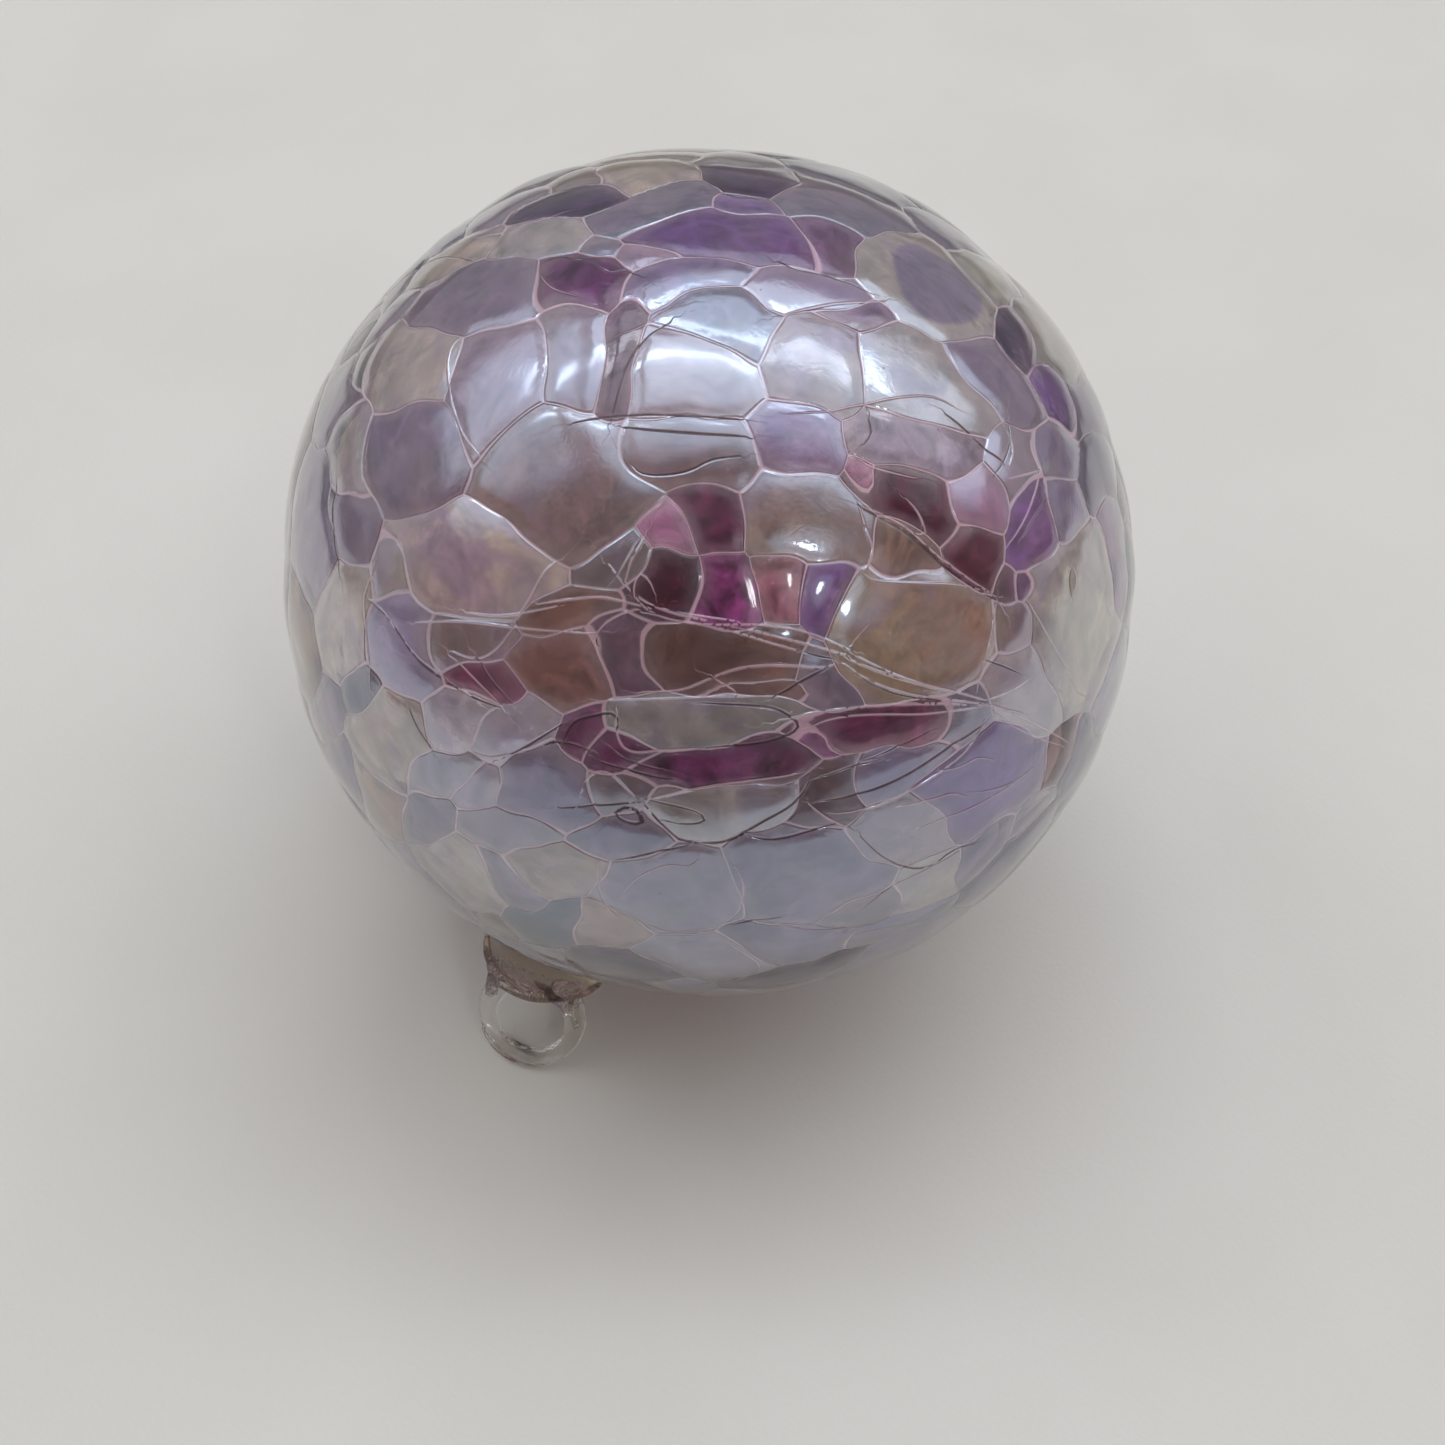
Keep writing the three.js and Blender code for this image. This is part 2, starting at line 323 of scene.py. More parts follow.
# Cords and folds pulled across the chips: half width (mm), b for a bright ridge or d for a crease
# with painted shade in it, and points (longitude, latitude, degrees).
STREAKS = """
0.09 d -75.8,64.9 -69.4,65.1 -57.1,65.1 -45.2,64.6
0.11 d -71.3,61.2 -69.5,60.5 -65.2,60.5 -59.1,61.2 -54.8,62.5 -48.1,62.7
0.09 b -68.5,49.1 -68.0,51.8 -67.0,53.1 -66.3,54.5
0.08 b -69.8,49.9 -68.4,52.1 -67.5,53.8
0.08 b -66.5,47.8 -67.1,49.3 -66.4,50.7 -64.7,50.0 -63.7,48.9
0.13 b -71.0,50.6 -67.6,48.7 -64.3,47.5 -59.7,46.7 -53.7,46.0 -48.0,44.7 -42.5,43.1 -36.5,40.7
0.11 b -67.6,48.9 -65.0,47.1 -61.8,46.3 -56.7,45.8 -49.4,45.7 -45.1,45.0 -40.8,43.9 -35.7,41.0
0.08 b -65.9,47.9 -61.2,47.0 -56.7,46.7 -50.8,46.0
0.08 b -64.9,46.7 -58.1,46.0 -52.3,45.2 -45.4,43.1 -40.0,41.3
0.12 b -80.9,45.0 -76.5,46.4 -72.1,47.5 -68.9,47.5 -65.0,47.3
0.11 b -71.7,43.4 -70.6,45.0 -67.2,46.7 -64.2,47.3
0.12 d -71.1,42.7 -71.7,43.4 -71.5,44.3
0.09 b -91.0,40.9 -86.3,42.1 -82.0,43.8 -77.8,45.5
0.09 b -98.6,36.4 -93.6,38.9 -89.0,40.5 -83.6,41.7 -76.9,43.0 -72.5,43.5 -71.1,43.9
0.11 b -84.0,41.6 -82.5,45.0 -81.6,48.3 -79.8,50.0
0.09 b -91.3,36.2 -87.3,36.7 -84.9,38.9 -83.6,41.7
0.13 b -64.6,38.4 -59.3,38.9 -56.6,39.9 -54.6,40.6 -51.2,41.4 -47.0,41.4 -43.0,40.7 -39.6,39.9 -37.4,40.3 -35.9,41.3
0.08 b -69.7,36.8 -63.2,37.8 -56.6,38.3 -51.4,38.3 -47.4,38.0
0.12 d -47.5,37.7 -44.7,38.6 -41.1,39.7 -38.9,40.0
0.08 b -54.6,40.3 -52.0,38.9
0.09 d -42.7,42.3 -40.7,41.4 -38.0,40.6
0.13 d -73.6,31.2 -73.2,33.3 -72.1,34.4 -69.5,35.3 -67.6,35.8 -66.9,35.0 -67.3,33.3
0.14 b -67.3,35.7 -67.3,33.8 -66.3,32.2 -64.7,31.7 -61.6,32.2 -56.6,32.7
0.13 d -56.6,32.7 -52.9,32.9 -49.1,33.0 -45.3,33.4 -43.9,34.3 -45.1,35.6 -46.9,36.7 -50.1,37.3 -56.6,37.7
0.09 d -68.9,30.1 -65.8,29.6 -62.7,29.2 -60.2,29.0
0.08 d -67.9,32.0 -65.2,30.4 -61.5,30.1
0.13 b -63.8,25.9 -59.0,27.6 -54.2,28.6 -49.4,28.9 -44.5,28.9
0.13 b -71.0,24.6 -70.6,27.3 -69.5,28.8 -67.6,29.1 -65.7,27.8 -63.8,26.2
0.14 d -63.8,26.2 -61.9,24.2 -60.1,22.4 -58.7,21.0 -54.3,20.9 -52.0,21.7 -49.6,23.5 -46.0,25.0 -44.3,26.4 -43.6,27.7
0.09 d -73.4,23.2 -68.6,24.8 -63.8,25.9
0.18 d -66.8,23.9 -65.9,24.9 -64.7,25.2 -63.1,23.7 -63.7,23.0 -65.5,23.1 -66.8,23.9
0.08 d -63.2,26.3 -60.2,26.0 -56.6,25.2 -55.8,24.1 -57.8,23.6 -60.8,23.9
0.14 d -50.8,21.6 -48.5,20.9 -45.0,21.2 -40.7,21.6
0.12 b -43.6,24.8 -41.9,22.8 -38.9,20.2
0.09 d -66.0,17.5 -62.5,19.2 -57.8,20.7
0.07 b -68.3,16.8 -68.6,13.5 -68.0,10.1 -66.9,8.2
0.06 b -65.4,12.6 -63.6,15.9 -60.1,18.1 -57.8,17.5 -56.7,19.0
0.08 b -52.7,17.5 -51.6,15.0 -51.9,11.7 -52.7,9.0 -55.0,6.5 -56.8,6.6 -60.8,5.8 -62.0,6.7
0.08 d -52.7,7.4 -49.2,8.0 -47.5,8.2
0.07 b -49.2,7.6 -45.1,4.8 -40.7,2.6 -36.3,2.1
0.08 b -55.0,5.7 -52.1,1.2 -49.7,-2.6 -49.8,-5.2 -52.6,-8.5 -57.0,-9.6
0.11 b -23.3,59.3 -22.2,58.1 -17.2,55.6 -14.3,54.3
0.15 d -27.3,54.6 -24.5,52.8 -21.4,50.3 -19.5,47.6 -17.6,44.8 -14.9,41.6 -11.9,38.4
0.12 b -27.4,54.9 -24.2,53.2 -21.0,50.8 -19.2,48.0 -17.2,45.3 -14.6,42.0 -11.7,38.8 -11.6,36.7
0.12 b -27.4,54.9 -28.0,52.3 -27.6,50.0 -30.3,48.5
0.08 b -30.9,48.3 -30.0,47.3 -25.5,45.8 -17.9,43.1 -14.3,41.1 -11.3,38.4
0.13 b -18.7,53.2 -17.9,51.8 -18.0,50.1 -18.3,49.0 -20.0,49.6
0.08 b -12.1,38.3 -14.5,35.9 -16.4,34.3 -18.0,32.5 -19.6,30.7
0.12 b -36.6,40.4 -32.2,37.7 -27.1,34.8 -21.8,31.5 -18.5,28.9
0.08 b -36.0,40.9 -29.7,36.3 -23.1,32.4 -18.5,28.9
0.08 b -37.1,40.0 -33.9,37.0 -27.5,33.4 -18.6,28.6
0.08 d -36.7,39.3 -32.7,35.8 -27.6,33.2 -22.1,30.6
0.14 b -46.5,35.3 -42.5,35.5 -37.1,35.1 -30.4,33.7 -23.6,31.1 -18.6,28.4
0.09 b -44.0,33.7 -39.9,34.6 -34.6,33.8 -26.6,31.1 -19.4,28.6
0.09 b -18.6,28.4 -15.2,25.3 -10.7,20.1 -6.5,14.3
0.08 b -18.7,28.2 -16.2,24.5 -12.6,20.1 -7.2,14.1
0.07 b -18.5,28.9 -14.4,27.9 -11.6,27.6
0.08 b -18.6,28.6 -16.6,26.7 -13.6,24.3
0.07 b -6.8,35.3 -6.0,30.3 -4.7,25.7 -3.6,20.2 -2.0,18.0
0.09 d -16.8,33.2 -14.8,31.5 -12.8,29.5
0.09 d 3.5,33.5 1.9,32.8 1.1,31.2
0.06 b 3.9,33.2 3.4,31.7 1.4,30.9
0.13 d -126.1,38.4 -123.6,36.3 -119.9,34.4 -115.1,32.7
0.08 b -108.0,34.2 -104.7,34.9 -100.8,34.1 -97.4,33.4 -94.4,33.0 -90.0,32.9 -85.9,32.4
0.15 d -107.3,34.1 -103.4,34.7 -99.9,33.9 -96.2,32.9 -92.5,32.6 -87.4,32.4 -82.2,32.7
0.09 b -91.1,35.7 -88.3,35.1 -84.8,34.0 -82.2,32.7
0.09 d -87.8,37.1 -85.3,35.6 -81.7,33.9 -80.9,33.5
0.08 b -109.3,38.7 -109.0,36.1 -108.5,33.6 -105.6,29.8 -102.6,24.6
0.09 d -95.5,26.7 -93.7,24.9 -91.7,23.6
0.11 d -81.7,26.7 -79.3,28.6 -76.3,31.4 -73.9,33.5
0.08 b -85.9,25.9 -83.1,26.1 -79.2,28.4
0.12 d -76.1,30.2 -74.9,31.1 -72.3,31.5 -70.3,31.0
0.09 d -36.9,28.6 -34.2,28.8 -30.7,29.1 -27.8,29.3
0.14 d -42.9,25.1 -38.6,24.7 -34.8,24.8 -30.7,25.2 -26.3,26.0 -22.5,26.2 -20.0,26.4
0.09 d -42.1,28.0 -38.2,28.4 -34.3,28.2
0.09 b -41.2,23.1 -36.3,22.2 -32.4,22.5 -26.7,23.5 -22.0,24.6 -19.7,26.5
0.07 b -32.5,21.2 -29.2,20.4 -25.7,20.1 -23.7,18.2
0.07 b -30.1,17.1 -26.0,16.4 -21.5,16.0 -16.7,15.9 -13.1,15.7
0.06 b -26.7,23.5 -23.9,22.8 -21.5,22.9 -19.4,21.2
0.06 b -22.2,18.0 -18.3,16.3 -14.0,15.6
0.08 d -37.8,18.8 -35.4,14.8 -32.2,10.9 -28.8,9.4 -26.0,10.4 -22.3,9.1
0.07 b -39.0,4.0 -36.6,7.1 -32.8,9.0 -28.8,9.4 -24.5,9.3
0.07 d -17.8,4.6 -14.3,4.4 -9.8,6.1
0.08 b -38.7,-0.0 -34.8,0.3 -27.2,-4.5 -22.7,-4.2
0.08 b -90.3,74.1 -84.9,75.8 -78.3,78.8 -65.6,80.3
0.09 d -79.4,65.3 -80.8,68.7 -82.3,72.2 -79.8,75.6 -72.6,77.8
0.09 b -131.6,62.3 -129.7,59.4 -120.0,57.6 -110.5,55.9 -103.0,55.5
0.08 d -87.5,63.5 -82.5,65.1 -72.9,66.6 -59.9,67.1 -46.9,66.6
0.09 d -146.3,72.0 -147.6,73.8 -141.2,75.6 -139.3,78.4 -127.2,79.7
0.11 d -137.9,77.5 -123.3,78.8 -123.8,80.6 -110.4,81.4
0.07 b -140.0,71.5 -130.3,72.3 -120.7,74.4
0.09 d 115.6,79.5 101.6,80.7 96.6,79.3 87.9,79.4
0.09 d 15.3,81.5 14.7,79.2 18.8,77.1 19.9,74.3 19.8,71.6
0.11 b -18.9,76.9 -8.8,76.2 3.2,74.4 12.5,71.9 18.9,69.5
0.08 b -33.9,66.1 -23.9,64.9 -16.0,64.1 -6.0,62.2 0.5,60.0 2.7,57.7
0.08 d -0.1,57.5 1.2,54.7 1.7,51.6 2.7,49.3
0.09 d 11.1,51.0 6.8,49.6 2.3,49.1 -0.8,49.0
0.08 d -16.5,62.3 -17.8,60.8 -20.7,60.3
0.07 b 8.7,50.8 6.7,48.9 3.0,48.3
0.09 b 1.2,47.6 5.5,45.9 9.0,44.4
0.09 d -3.0,41.6 0.9,42.1 6.0,41.9
0.08 b 9.0,44.4 3.2,43.6 -1.4,42.8 -6.2,42.3
0.07 b -166.8,60.5 -167.1,65.1 -170.4,68.7 -176.1,71.8
0.08 d -153.0,38.0 -162.0,37.4 -165.3,42.4 -167.4,47.5 -165.7,53.9 -157.8,61.1
0.07 b -155.8,40.1 -157.4,43.4 -154.9,50.2
"""

# colour of the glass that light passes, how milky it is, and how much lustre it holds
GLASS = {
    "clear": ((0.84, 0.78, 0.69), 0.22, 1.0),
    "straw": ((0.70, 0.53, 0.37), 0.26, 0.9),
    "brown": ((0.52, 0.31, 0.245), 0.09, 0.65),
    "lav": ((0.44, 0.34, 0.49), 0.18, 0.95),
    "lavc": ((0.46, 0.37, 0.52), 0.20, 1.0),
    "lavp": ((0.64, 0.52, 0.63), 0.21, 1.0),
    "greyp": ((0.50, 0.33, 0.33), 0.10, 1.05),
    "pale": ((0.76, 0.70, 0.80), 0.24, 1.1),
    "palev": ((0.68, 0.56, 0.80), 0.20, 1.0),
    "violp": ((0.52, 0.35, 0.68), 0.15, 0.8),
    "violet": ((0.43, 0.23, 0.60), 0.15, 0.6),
    "vdark": ((0.24, 0.11, 0.34), 0.07, 0.6),
    "plum": ((0.38, 0.10, 0.23), 0.06, 0.35),
    "plumv": ((0.28, 0.09, 0.32), 0.05, 0.35),
    "glint": ((0.72, 0.69, 0.71), 0.18, 0.72),
    "lilac2": ((0.88, 0.78, 0.90), 0.50, 1.05),
    "dim": ((0.40, 0.33, 0.45), 0.12, 0.2),
    "dim2": ((0.62, 0.55, 0.64), 0.20, 0.6),
    "dusk": ((0.28, 0.19, 0.28), 0.06, 0.5),
    "dusk2": ((0.36, 0.28, 0.34), 0.14, 0.7),
    "strawd": ((0.46, 0.345, 0.27), 0.12, 0.5),
    "cream": ((0.90, 0.82, 0.70), 0.34, 0.95),
    "lilac": ((0.80, 0.70, 0.84), 0.36, 1.0),
    "plum2": ((0.21, 0.03, 0.09), 0.03, 0.18),
    "magenta": ((0.64, 0.18, 0.52), 0.24, 0.3),
    "pink": ((0.90, 0.45, 0.71), 0.28, 0.5),
    "pinkl": ((0.80, 0.54, 0.74), 0.20, 0.9),
    "pinkb": ((0.64, 0.29, 0.42), 0.16, 0.45),
    "slate": ((0.21, 0.22, 0.28), 0.17, 0.85),
    "slatel": ((0.63, 0.57, 0.71), 0.26, 0.95),
    "lavd": ((0.34, 0.27, 0.36), 0.14, 0.85),
    "bluep": ((0.42, 0.40, 0.56), 0.14, 0.8),
}
# what the hidden sides are made of: the same mix that the near side shows
REST_MIX = (
    ["lav"] * 6 + ["lavp"] * 6 + ["clear"] * 4 + ["straw"] * 4 + ["greyp"] * 5 + ["violp"] * 3
    + ["violet"] * 2 + ["vdark"] * 2 + ["plum"] * 2 + ["slatel"] * 2 + ["palev"] * 2
    + ["slate"] + ["brown"] * 3
)


def unit(v):
    return v / np.linalg.norm(v, axis=-1, keepdims=True)


def chip_list():
    chips = []
    for line in CHIPS.strip().splitlines():
        lon, lat, a, b, turn, kind = line.split()
        lon, lat = math.radians(float(lon)), math.radians(float(lat))
        n = np.array([math.cos(lat) * math.cos(lon), math.cos(lat) * math.sin(lon), math.sin(lat)])
        chips.append((n, float(a), float(b), math.radians(float(turn)), kind))
    # the other sides: chips of mixed sizes, thrown down where there is room
    rng = np.random.default_rng(41)
    centres = [c[0] for c in chips]
    sizes = [math.sqrt(c[1] * c[2]) for c in chips]
    for want, tries in ((9.5, 500), (7.5, 1500), (6.0, 3000), (4.6, 6000), (3.4, 9000)):
        for _ in range(tries):
            n = unit(rng.normal(size=3))
            r = want * rng.uniform(0.85, 1.2)
            gap = np.arccos(np.clip(np.array(centres) @ n, -1, 1)) * BALL_R
            reach = np.array(sizes)
            if np.all(gap > (r + reach) * 0.86):
                stretch = rng.uniform(1.0, 1.35)
                kind = REST_MIX[rng.integers(len(REST_MIX))]
                chips.append((n, r * stretch, r / stretch, rng.uniform(0, math.pi), kind))
                centres.append(n)
                sizes.append(r)
    return chips


def icosphere(n):
    """Unit directions and triangles of an icosahedron with n steps along each edge."""
    f = (1 + 5**0.5) / 2
    v = unit(np.array([(-1, f, 0), (1, f, 0), (-1, -f, 0), (1, -f, 0), (0, -1, f), (0, 1, f), (0, -1, -f), (0, 1, -f), (f, 0, -1), (f, 0, 1), (-f, 0, -1), (-f, 0, 1)], float))
    tris = [(0, 11, 5), (0, 5, 1), (0, 1, 7), (0, 7, 10), (0, 10, 11), (1, 5, 9), (5, 11, 4), (11, 10, 2), (10, 7, 6), (7, 1, 8), (3, 9, 4), (3, 4, 2), (3, 2, 6), (3, 6, 8), (3, 8, 9), (4, 9, 5), (2, 4, 11), (6, 2, 10), (8, 6, 7), (9, 8, 1)]
    ij = [(i, j) for i in range(n + 1) for j in range(n + 1 - i)]
    at = {p: k for k, p in enumerate(ij)}
    w = np.array([((n - i - j) / n, i / n, j / n) for i, j in ij])
    # split each big face into a grid of small triangles, then push its points out onto the ball
    cells = []
    for i in range(n):
        for j in range(n - i):
            cells.append((at[i, j], at[i + 1, j], at[i, j + 1]))
            if i + j < n - 1:
                cells.append((at[i + 1, j], at[i + 1, j + 1], at[i, j + 1]))
    cells = np.array(cells)
    pts, faces = [], []
    for k, (a, b, c) in enumerate(tris):
        pts.append(unit(w @ v[[a, b, c]]))
        faces.append(cells + k * len(ij))
    pts, faces = np.concatenate(pts), np.concatenate(faces)
    _, first, back = np.unique(np.round(pts, 6), axis=0, return_index=True, return_inverse=True)
    return pts[first], back.reshape(-1)[faces]


def waves(dirs, seed, length, count=14):
    """A smooth random field on the ball, about -1 to 1, with bumps about length mm apart."""
    rng = np.random.default_rng(seed)
    total = np.zeros(len(dirs))
    for _ in range(count):
        k = unit(rng.normal(size=3)) * 2 * math.pi * BALL_R / (length * rng.uniform(0.75, 1.5))
        total += np.sin(dirs @ k + rng.uniform(0, 2 * math.pi))
    return total / math.sqrt(count / 2)


def chip_distances(dirs, chips):
    """For each direction and chip, about how many mm outside the chip's edge it lies."""
    warp = np.stack([waves(dirs, 3 + k, 11.0) * 0.010 + waves(dirs, 13 + k, 4.5) * 0.003 for k in range(3)], -1)
    q = unit(dirs + warp)
    out = np.empty((len(dirs), len(chips)), np.float32)
    for i, (n, a, b, turn, _) in enumerate(chips):
        lon = math.atan2(n[1], n[0])
        e = np.array([-math.sin(lon), math.cos(lon), 0])
        nn = np.cross(n, e)
        u = math.cos(turn) * e + math.sin(turn) * nn
        v = -math.sin(turn) * e + math.cos(turn) * nn
        c = np.clip(q @ n, -1, 1)
        th = np.arccos(c)
        k = BALL_R * th / np.maximum(np.sin(th), 1e-4)
        rho = np.sqrt((q @ u * k / a) ** 2 + (q @ v * k / b) ** 2)
        r = math.sqrt(a * b)
        out[:, i] = r * (rho - 1)
    return out


def ellipsoid(dirs, inset=0.0):
    c = dirs @ POLE
    return 1 / np.sqrt((1 - c * c) / (BALL_R - inset) ** 2 + c * c / (BALL_R_POLE - inset) ** 2)


def add_mesh(name, verts_mm, faces, smooth=True):
    mesh = bpy.data.meshes.new(name)
    verts = np.asarray(verts_mm, float) * MM
    mesh.vertices.add(len(verts))
    mesh.vertices.foreach_set("co", verts.astype(np.float32).ravel())
    faces = np.asarray(faces, np.int32)
    mesh.loops.add(faces.size)
    mesh.loops.foreach_set("vertex_index", faces.ravel())
    mesh.polygons.add(len(faces))
    mesh.polygons.foreach_set("loop_start", np.arange(0, faces.size, 3, dtype=np.int32))
    mesh.polygons.foreach_set("use_smooth", np.full(len(faces), smooth))
    mesh.update()
    mesh.validate()
    obj = bpy.data.objects.new(name, mesh)
    bpy.context.scene.collection.objects.link(obj)
    return obj


def streak_list():
    out = []
    for line in STREAKS.strip().splitlines():
        half, kind, *points = line.split()
        ll = np.radians(np.array([[float(v) for v in p.split(",")] for p in points]))
        n = np.stack([np.cos(ll[:, 1]) * np.cos(ll[:, 0]), np.cos(ll[:, 1]) * np.sin(ll[:, 0]), np.sin(ll[:, 1])], -1)
        # round the corners, so that a few points give a flowing line
        for _ in range(2):
            mid = [n[:1]]
            for a, b in zip(n[:-1], n[1:]):
                mid.append(unit(np.array([0.75 * a + 0.25 * b, 0.25 * a + 0.75 * b])))
            n = np.concatenate(mid + [n[-1:]])
        out.append((float(half), 1.0 if kind == "b" else -1.0, n * BALL_R))
    return out


def streak_fields(dirs, streaks):
    """For each direction and streak: signed mm from its line, and its half width there."""
    p = dirs * BALL_R
    dist = np.full((len(p), len(streaks)), 9.0, np.float32)
    width = np.zeros((len(p), len(streaks)), np.float32)
    for i, (half, _, line) in enumerate(streaks):
        near = np.flatnonzero(np.linalg.norm(p - line.mean(0), axis=1) < np.linalg.norm(line - line.mean(0), axis=1).max() + 3)
        q = p[near]
        seg = np.linalg.norm(np.diff(line, axis=0), axis=1)
        run = np.concatenate([[0], np.cumsum(seg)])
        best = np.full(len(q), 99.0)
        signed = np.full(len(q), 9.0)
        along = np.zeros(len(q))
        for k in range(len(line) - 1):
            a, b = line[k], line[k + 1]
            ab = b - a
            t = np.clip((q - a) @ ab / (ab @ ab), 0, 1)
            off = q - (a + t[:, None] * ab)
            d = np.linalg.norm(off, axis=1)
            side = np.sign(np.einsum("ij,ij->i", np.cross(ab, q - a), q))
            take = d < best
            best = np.where(take, d, best)
            signed = np.where(take, d * side, signed)
            along = np.where(take, (run[k] + t * seg[k]) / run[-1], along)
        taper = np.sqrt(np.clip(np.sin(math.pi * np.clip(along, 0.02, 0.98)), 0, 1))
        dist[near, i] = signed
        width[near, i] = half * (0.25 + 0.75 * taper)
    return dist, width


def build_ball():
    chips = chip_list()
    dirs, faces = icosphere(90)
    d = chip_distances(dirs, chips)
    order = np.argpartition(d, 3, axis=1)[:, :3]
    near = np.sort(np.take_along_axis(d, order, 1), axis=1)
    first = np.take_along_axis(order, np.argsort(np.take_along_axis(d, order, 1), axis=1)[:, :1], 1)[:, 0]
    edge = (near[:, 1] - near[:, 0]) / 2  # mm to the seam with the next chip
    size = np.array([math.sqrt(c[1] * c[2]) for c in chips])[first]
    inside = np.clip(near[:, 0], -30, 1.5)
    dome = -0.045 * inside - 0.022 * inside**2 / size
    relief = dome - 0.13 * np.exp(-((edge / 0.6) ** 2))
    relief += 0.09 * waves(dirs, 71, 24.0) + 0.030 * waves(dirs, 72, 9.0)
    streaks = streak_list()
    s_dist, s_width = streak_fields(dirs, streaks)
    s_sign = np.array([s[1] for s in streaks])
    relief += (s_sign * s_width * 0.55 * np.exp(-((s_dist / 0.55) ** 2))).sum(1)
    relief -= relief.mean() - 0.12
    # the foot of the ball keeps little of the relief and stays close to the true surface
    flat = np.clip((BALL_R * np.arccos(np.clip(-dirs[:, 2], -1, 1)) - 1.0) / 4, 0, 1)
    relief *= 0.15 + 0.85 * flat
    outer = dirs * (ellipsoid(dirs) + relief)[:, None] + CENTRE
    outer[:, 2] = np.maximum(outer[:, 2], 0.03)

    idirs, ifaces = icosphere(38)
    inner = idirs * (ellipsoid(idirs, WALL) + 0.10 * waves(idirs, 81, 26.0) + 0.04 * waves(idirs, 82, 10.0))[:, None] + CENTRE
    verts = np.concatenate([outer, inner])
    all_faces = np.concatenate([faces, ifaces[:, ::-1] + len(outer)])
    ball = add_mesh("lustre_ball", verts, all_faces)
    mesh = ball.data
    mesh.polygons.foreach_set("material_index", np.concatenate([np.zeros(len(faces)), np.ones(len(ifaces))]).astype(np.int32))

    # the three nearest chips of each face
    mean = (d[faces[:, 0]] + d[faces[:, 1]] + d[faces[:, 2]]) / 3
    three = np.argpartition(mean, 3, axis=1)[:, :3]
    corner = np.stack([np.take_along_axis(d[faces[:, k]], three, 1) for k in range(3)], 1)
    pad = np.zeros((len(ifaces), 3, 3), np.float32)
    pad[..., 1:] = 9
    values = np.concatenate([corner, pad]).astype(np.float32)
    mesh.attributes.new("chip_dist", "FLOAT_VECTOR", "CORNER").data.foreach_set("vector", values.ravel())
    # the nearest streak of each face
    pick = np.argmin(np.abs(s_dist[faces].mean(1)), axis=1)
    rows = faces
    line = np.stack([s_dist[rows, pick[:, None]], s_width[rows, pick[:, None]], np.repeat(s_sign[pick][:, None], 3, 1)], -1)
    none = np.zeros((len(ifaces), 3, 3), np.float32)
    none[..., 0] = 9
    line = np.concatenate([line, none]).astype(np.float32)
    mesh.attributes.new("streak", "FLOAT_VECTOR", "CORNER").data.foreach_set("vector", line.ravel())
    rng = np.random.default_rng(5)
    colours, milks = [], []
    known = len(CHIPS.strip().splitlines())
    for i, (_, _, _, _, kind) in enumerate(chips):
        c, milk, _ = GLASS[kind]
        if i >= known:  # the hidden sides are a little more even
            c = 0.62 * np.array(c) + 0.38 * np.array((0.50, 0.40, 0.48))
        c = np.array(c) * rng.uniform(0.93, 1.07) * rng.uniform(0.96, 1.04, 3)
        colours.append(np.clip(c, 0, 0.98))
        milks.append(milk * rng.uniform(0.7, 1.3))
    colours, milks = np.array(colours), np.array(milks)
    margin = np.array([1.0 if c[4] == "lavc" else 0.0 for c in chips])
    lustre = np.array([GLASS[c[4]][2] for c in chips]) * rng.uniform(0.85, 1.15, len(chips))
    for k, name in enumerate(("chip_a", "chip_b", "chip_c")):
        rgba = np.concatenate([colours[three[:, k]], milks[three[:, k]][:, None]], 1)
        rgba = np.concatenate([rgba, np.ones((len(ifaces), 4))]).astype(np.float32)
        mesh.attributes.new(name, "FLOAT_COLOR", "FACE").data.foreach_set("color", rgba.ravel())
    for name, value in (("margin", margin), ("lustre", lustre)):
        v = np.concatenate([value[three], np.zeros((len(ifaces), 3))]).astype(np.float32)
        mesh.attributes.new(name, "FLOAT_VECTOR", "FACE").data.foreach_set("vector", v.ravel())
    mesh.update()
    print("ball", len(chips), "chips", len(all_faces), "faces")
    return ball


